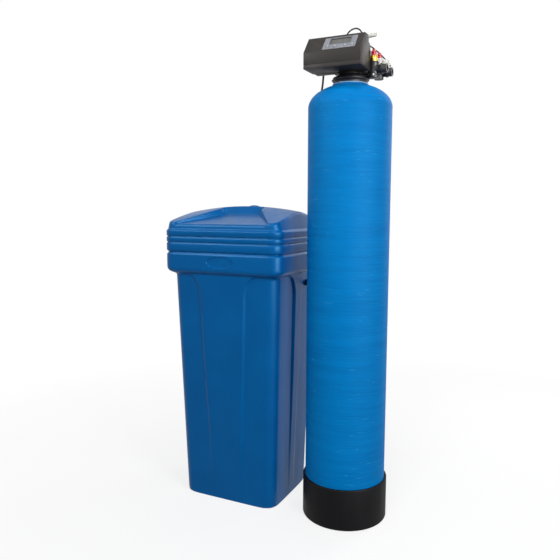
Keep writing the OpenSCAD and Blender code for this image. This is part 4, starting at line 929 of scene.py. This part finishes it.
def seen_directly(tree, rays):
    mirrored = calc(tree, "MAXIMUM", rays.outputs["Is Glossy Ray"], rays.outputs["Is Transmission Ray"])
    return calc(tree, "MAXIMUM", rays.outputs["Is Camera Ray"], mirrored)


world = bpy.data.worlds.new("studio")
bpy.context.scene.world = world
world.use_nodes = True
tree = world.node_tree
background = tree.nodes["Background"]
seen = seen_directly(tree, tree.nodes.new("ShaderNodeLightPath"))
tree.links.new(ranged(tree, seen, WORLD_LIGHT, 1.0, 0, 1), background.inputs["Strength"])
background.inputs["Color"].default_value = (1, 1, 1, 1)
print("world:", WORLD_LIGHT, "where it lights, 1 where it is seen")

# %% Floor
FLOOR_HALF = 12
FLOOR_DROP = 0.0005
floor_bm = bmesh.new()
bmesh.ops.create_grid(floor_bm, x_segments=1, y_segments=1, size=FLOOR_HALF)
bmesh.ops.translate(floor_bm, verts=floor_bm.verts, vec=(0, 0, -FLOOR_DROP))
floor_mesh = bpy.data.meshes.new("pale_floor")
floor_bm.to_mesh(floor_mesh)
floor_bm.free()
floor = bpy.data.objects.new("pale_floor", floor_mesh)
bpy.context.collection.objects.link(floor)
print(floor.name, 2 * FLOOR_HALF, "m square")

# %% Floor finish
FLOOR_BOUNCE = (0.15, 0.15, 0.15, 1)
FLOOR_SEEN = (0.9, 0.9, 0.9, 1)
FADE_GLOW = (0.75, 1.0)
FADE_REACH = (0.5, 2.2)
floor_finish, tree, shader = blank_finish("pale_floor")
shader.inputs["Roughness"].default_value = 0.8
rays = tree.nodes.new("ShaderNodeLightPath")
tree.links.new(mixed(tree, rays.outputs["Is Camera Ray"], FLOOR_BOUNCE, FLOOR_SEEN),
               shader.inputs["Base Color"])
away = tree.nodes.new("ShaderNodeVectorMath")
away.operation = "LENGTH"
tree.links.new(stretched(tree), away.inputs[0])
fade = ranged(tree, away.outputs["Value"], *FADE_GLOW, *FADE_REACH)
glow = tree.nodes.new("ShaderNodeEmission")
blend = tree.nodes.new("ShaderNodeMixShader")
tree.links.new(calc(tree, "MULTIPLY", seen_directly(tree, rays), fade), blend.inputs["Fac"])
tree.links.new(shader.outputs["BSDF"], blend.inputs[1])
tree.links.new(glow.outputs["Emission"], blend.inputs[2])
tree.links.new(blend.outputs["Shader"], tree.nodes["Material Output"].inputs["Surface"])
floor.data.materials.append(floor_finish)
print(floor_finish.name, "is white from", FADE_REACH[1], "m out")

# %% [markdown]
# ## Light
# An even sky alone would leave the round shapes flat, so soft boxes do most of the lighting: a tall
# one to the right, one in front, a small one overhead, and a weak one behind that reaches the brine
# tank's far side and shows in no reflection. A photographer adds white cards that show only as
# highlights. Here a card is a lamp that diffuse surfaces don't see: one draws the upright lines on
# the tanks' corners, one the level lines on the ledges, and one the sheen on the head's end.


# %% Soft boxes and cards
def soft_box(name, place, target, size, power, lights=True, shows=True):
    lamp = bpy.data.lights.new(name, "AREA")
    lamp.shape = "RECTANGLE"
    lamp.size, lamp.size_y = size
    lamp.energy = power
    box = bpy.data.objects.new(name, lamp)
    box.location = place
    box.rotation_euler = (Vector(target) - Vector(place)).to_track_quat("-Z", "Y").to_euler()
    box.visible_diffuse = lights
    box.visible_glossy = shows
    bpy.context.collection.objects.link(box)


soft_box("tall_box", (1.91, -1.35, 1.6), (-0.1, 0, 1.1), (0.7, 1.9), 27)
soft_box("front_box", (0.1, -2.4, 2.3), (-0.1, 0, 1.0), (1.0, 0.8), 31)
soft_box("overhead", (0.28, -0.6, 2.94), (-0.05, 0, 1.0), (0.4, 0.4), 9)
soft_box("shine_card", (2.05, -1.2, 1.3), (-0.2, -0.1, 0.9), (1.9, 1.9), 150, lights=False)
soft_box("ledge_card", (-1.48, -1.62, 2.15), (-0.38, -0.18, 0.92), (1.0, 1.0), 50, lights=False)
soft_box("end_card", (0.8, 2.3, 2.0), (0.075, 0, 1.45), (1.4, 1.4), 12, lights=False)
soft_box("side_box", (0.75, 1.5, 1.1), (-0.19, 0.05, 0.5), (0.6, 1.2), 12, shows=False)
bpy.context.scene.view_settings.view_transform = "Standard"
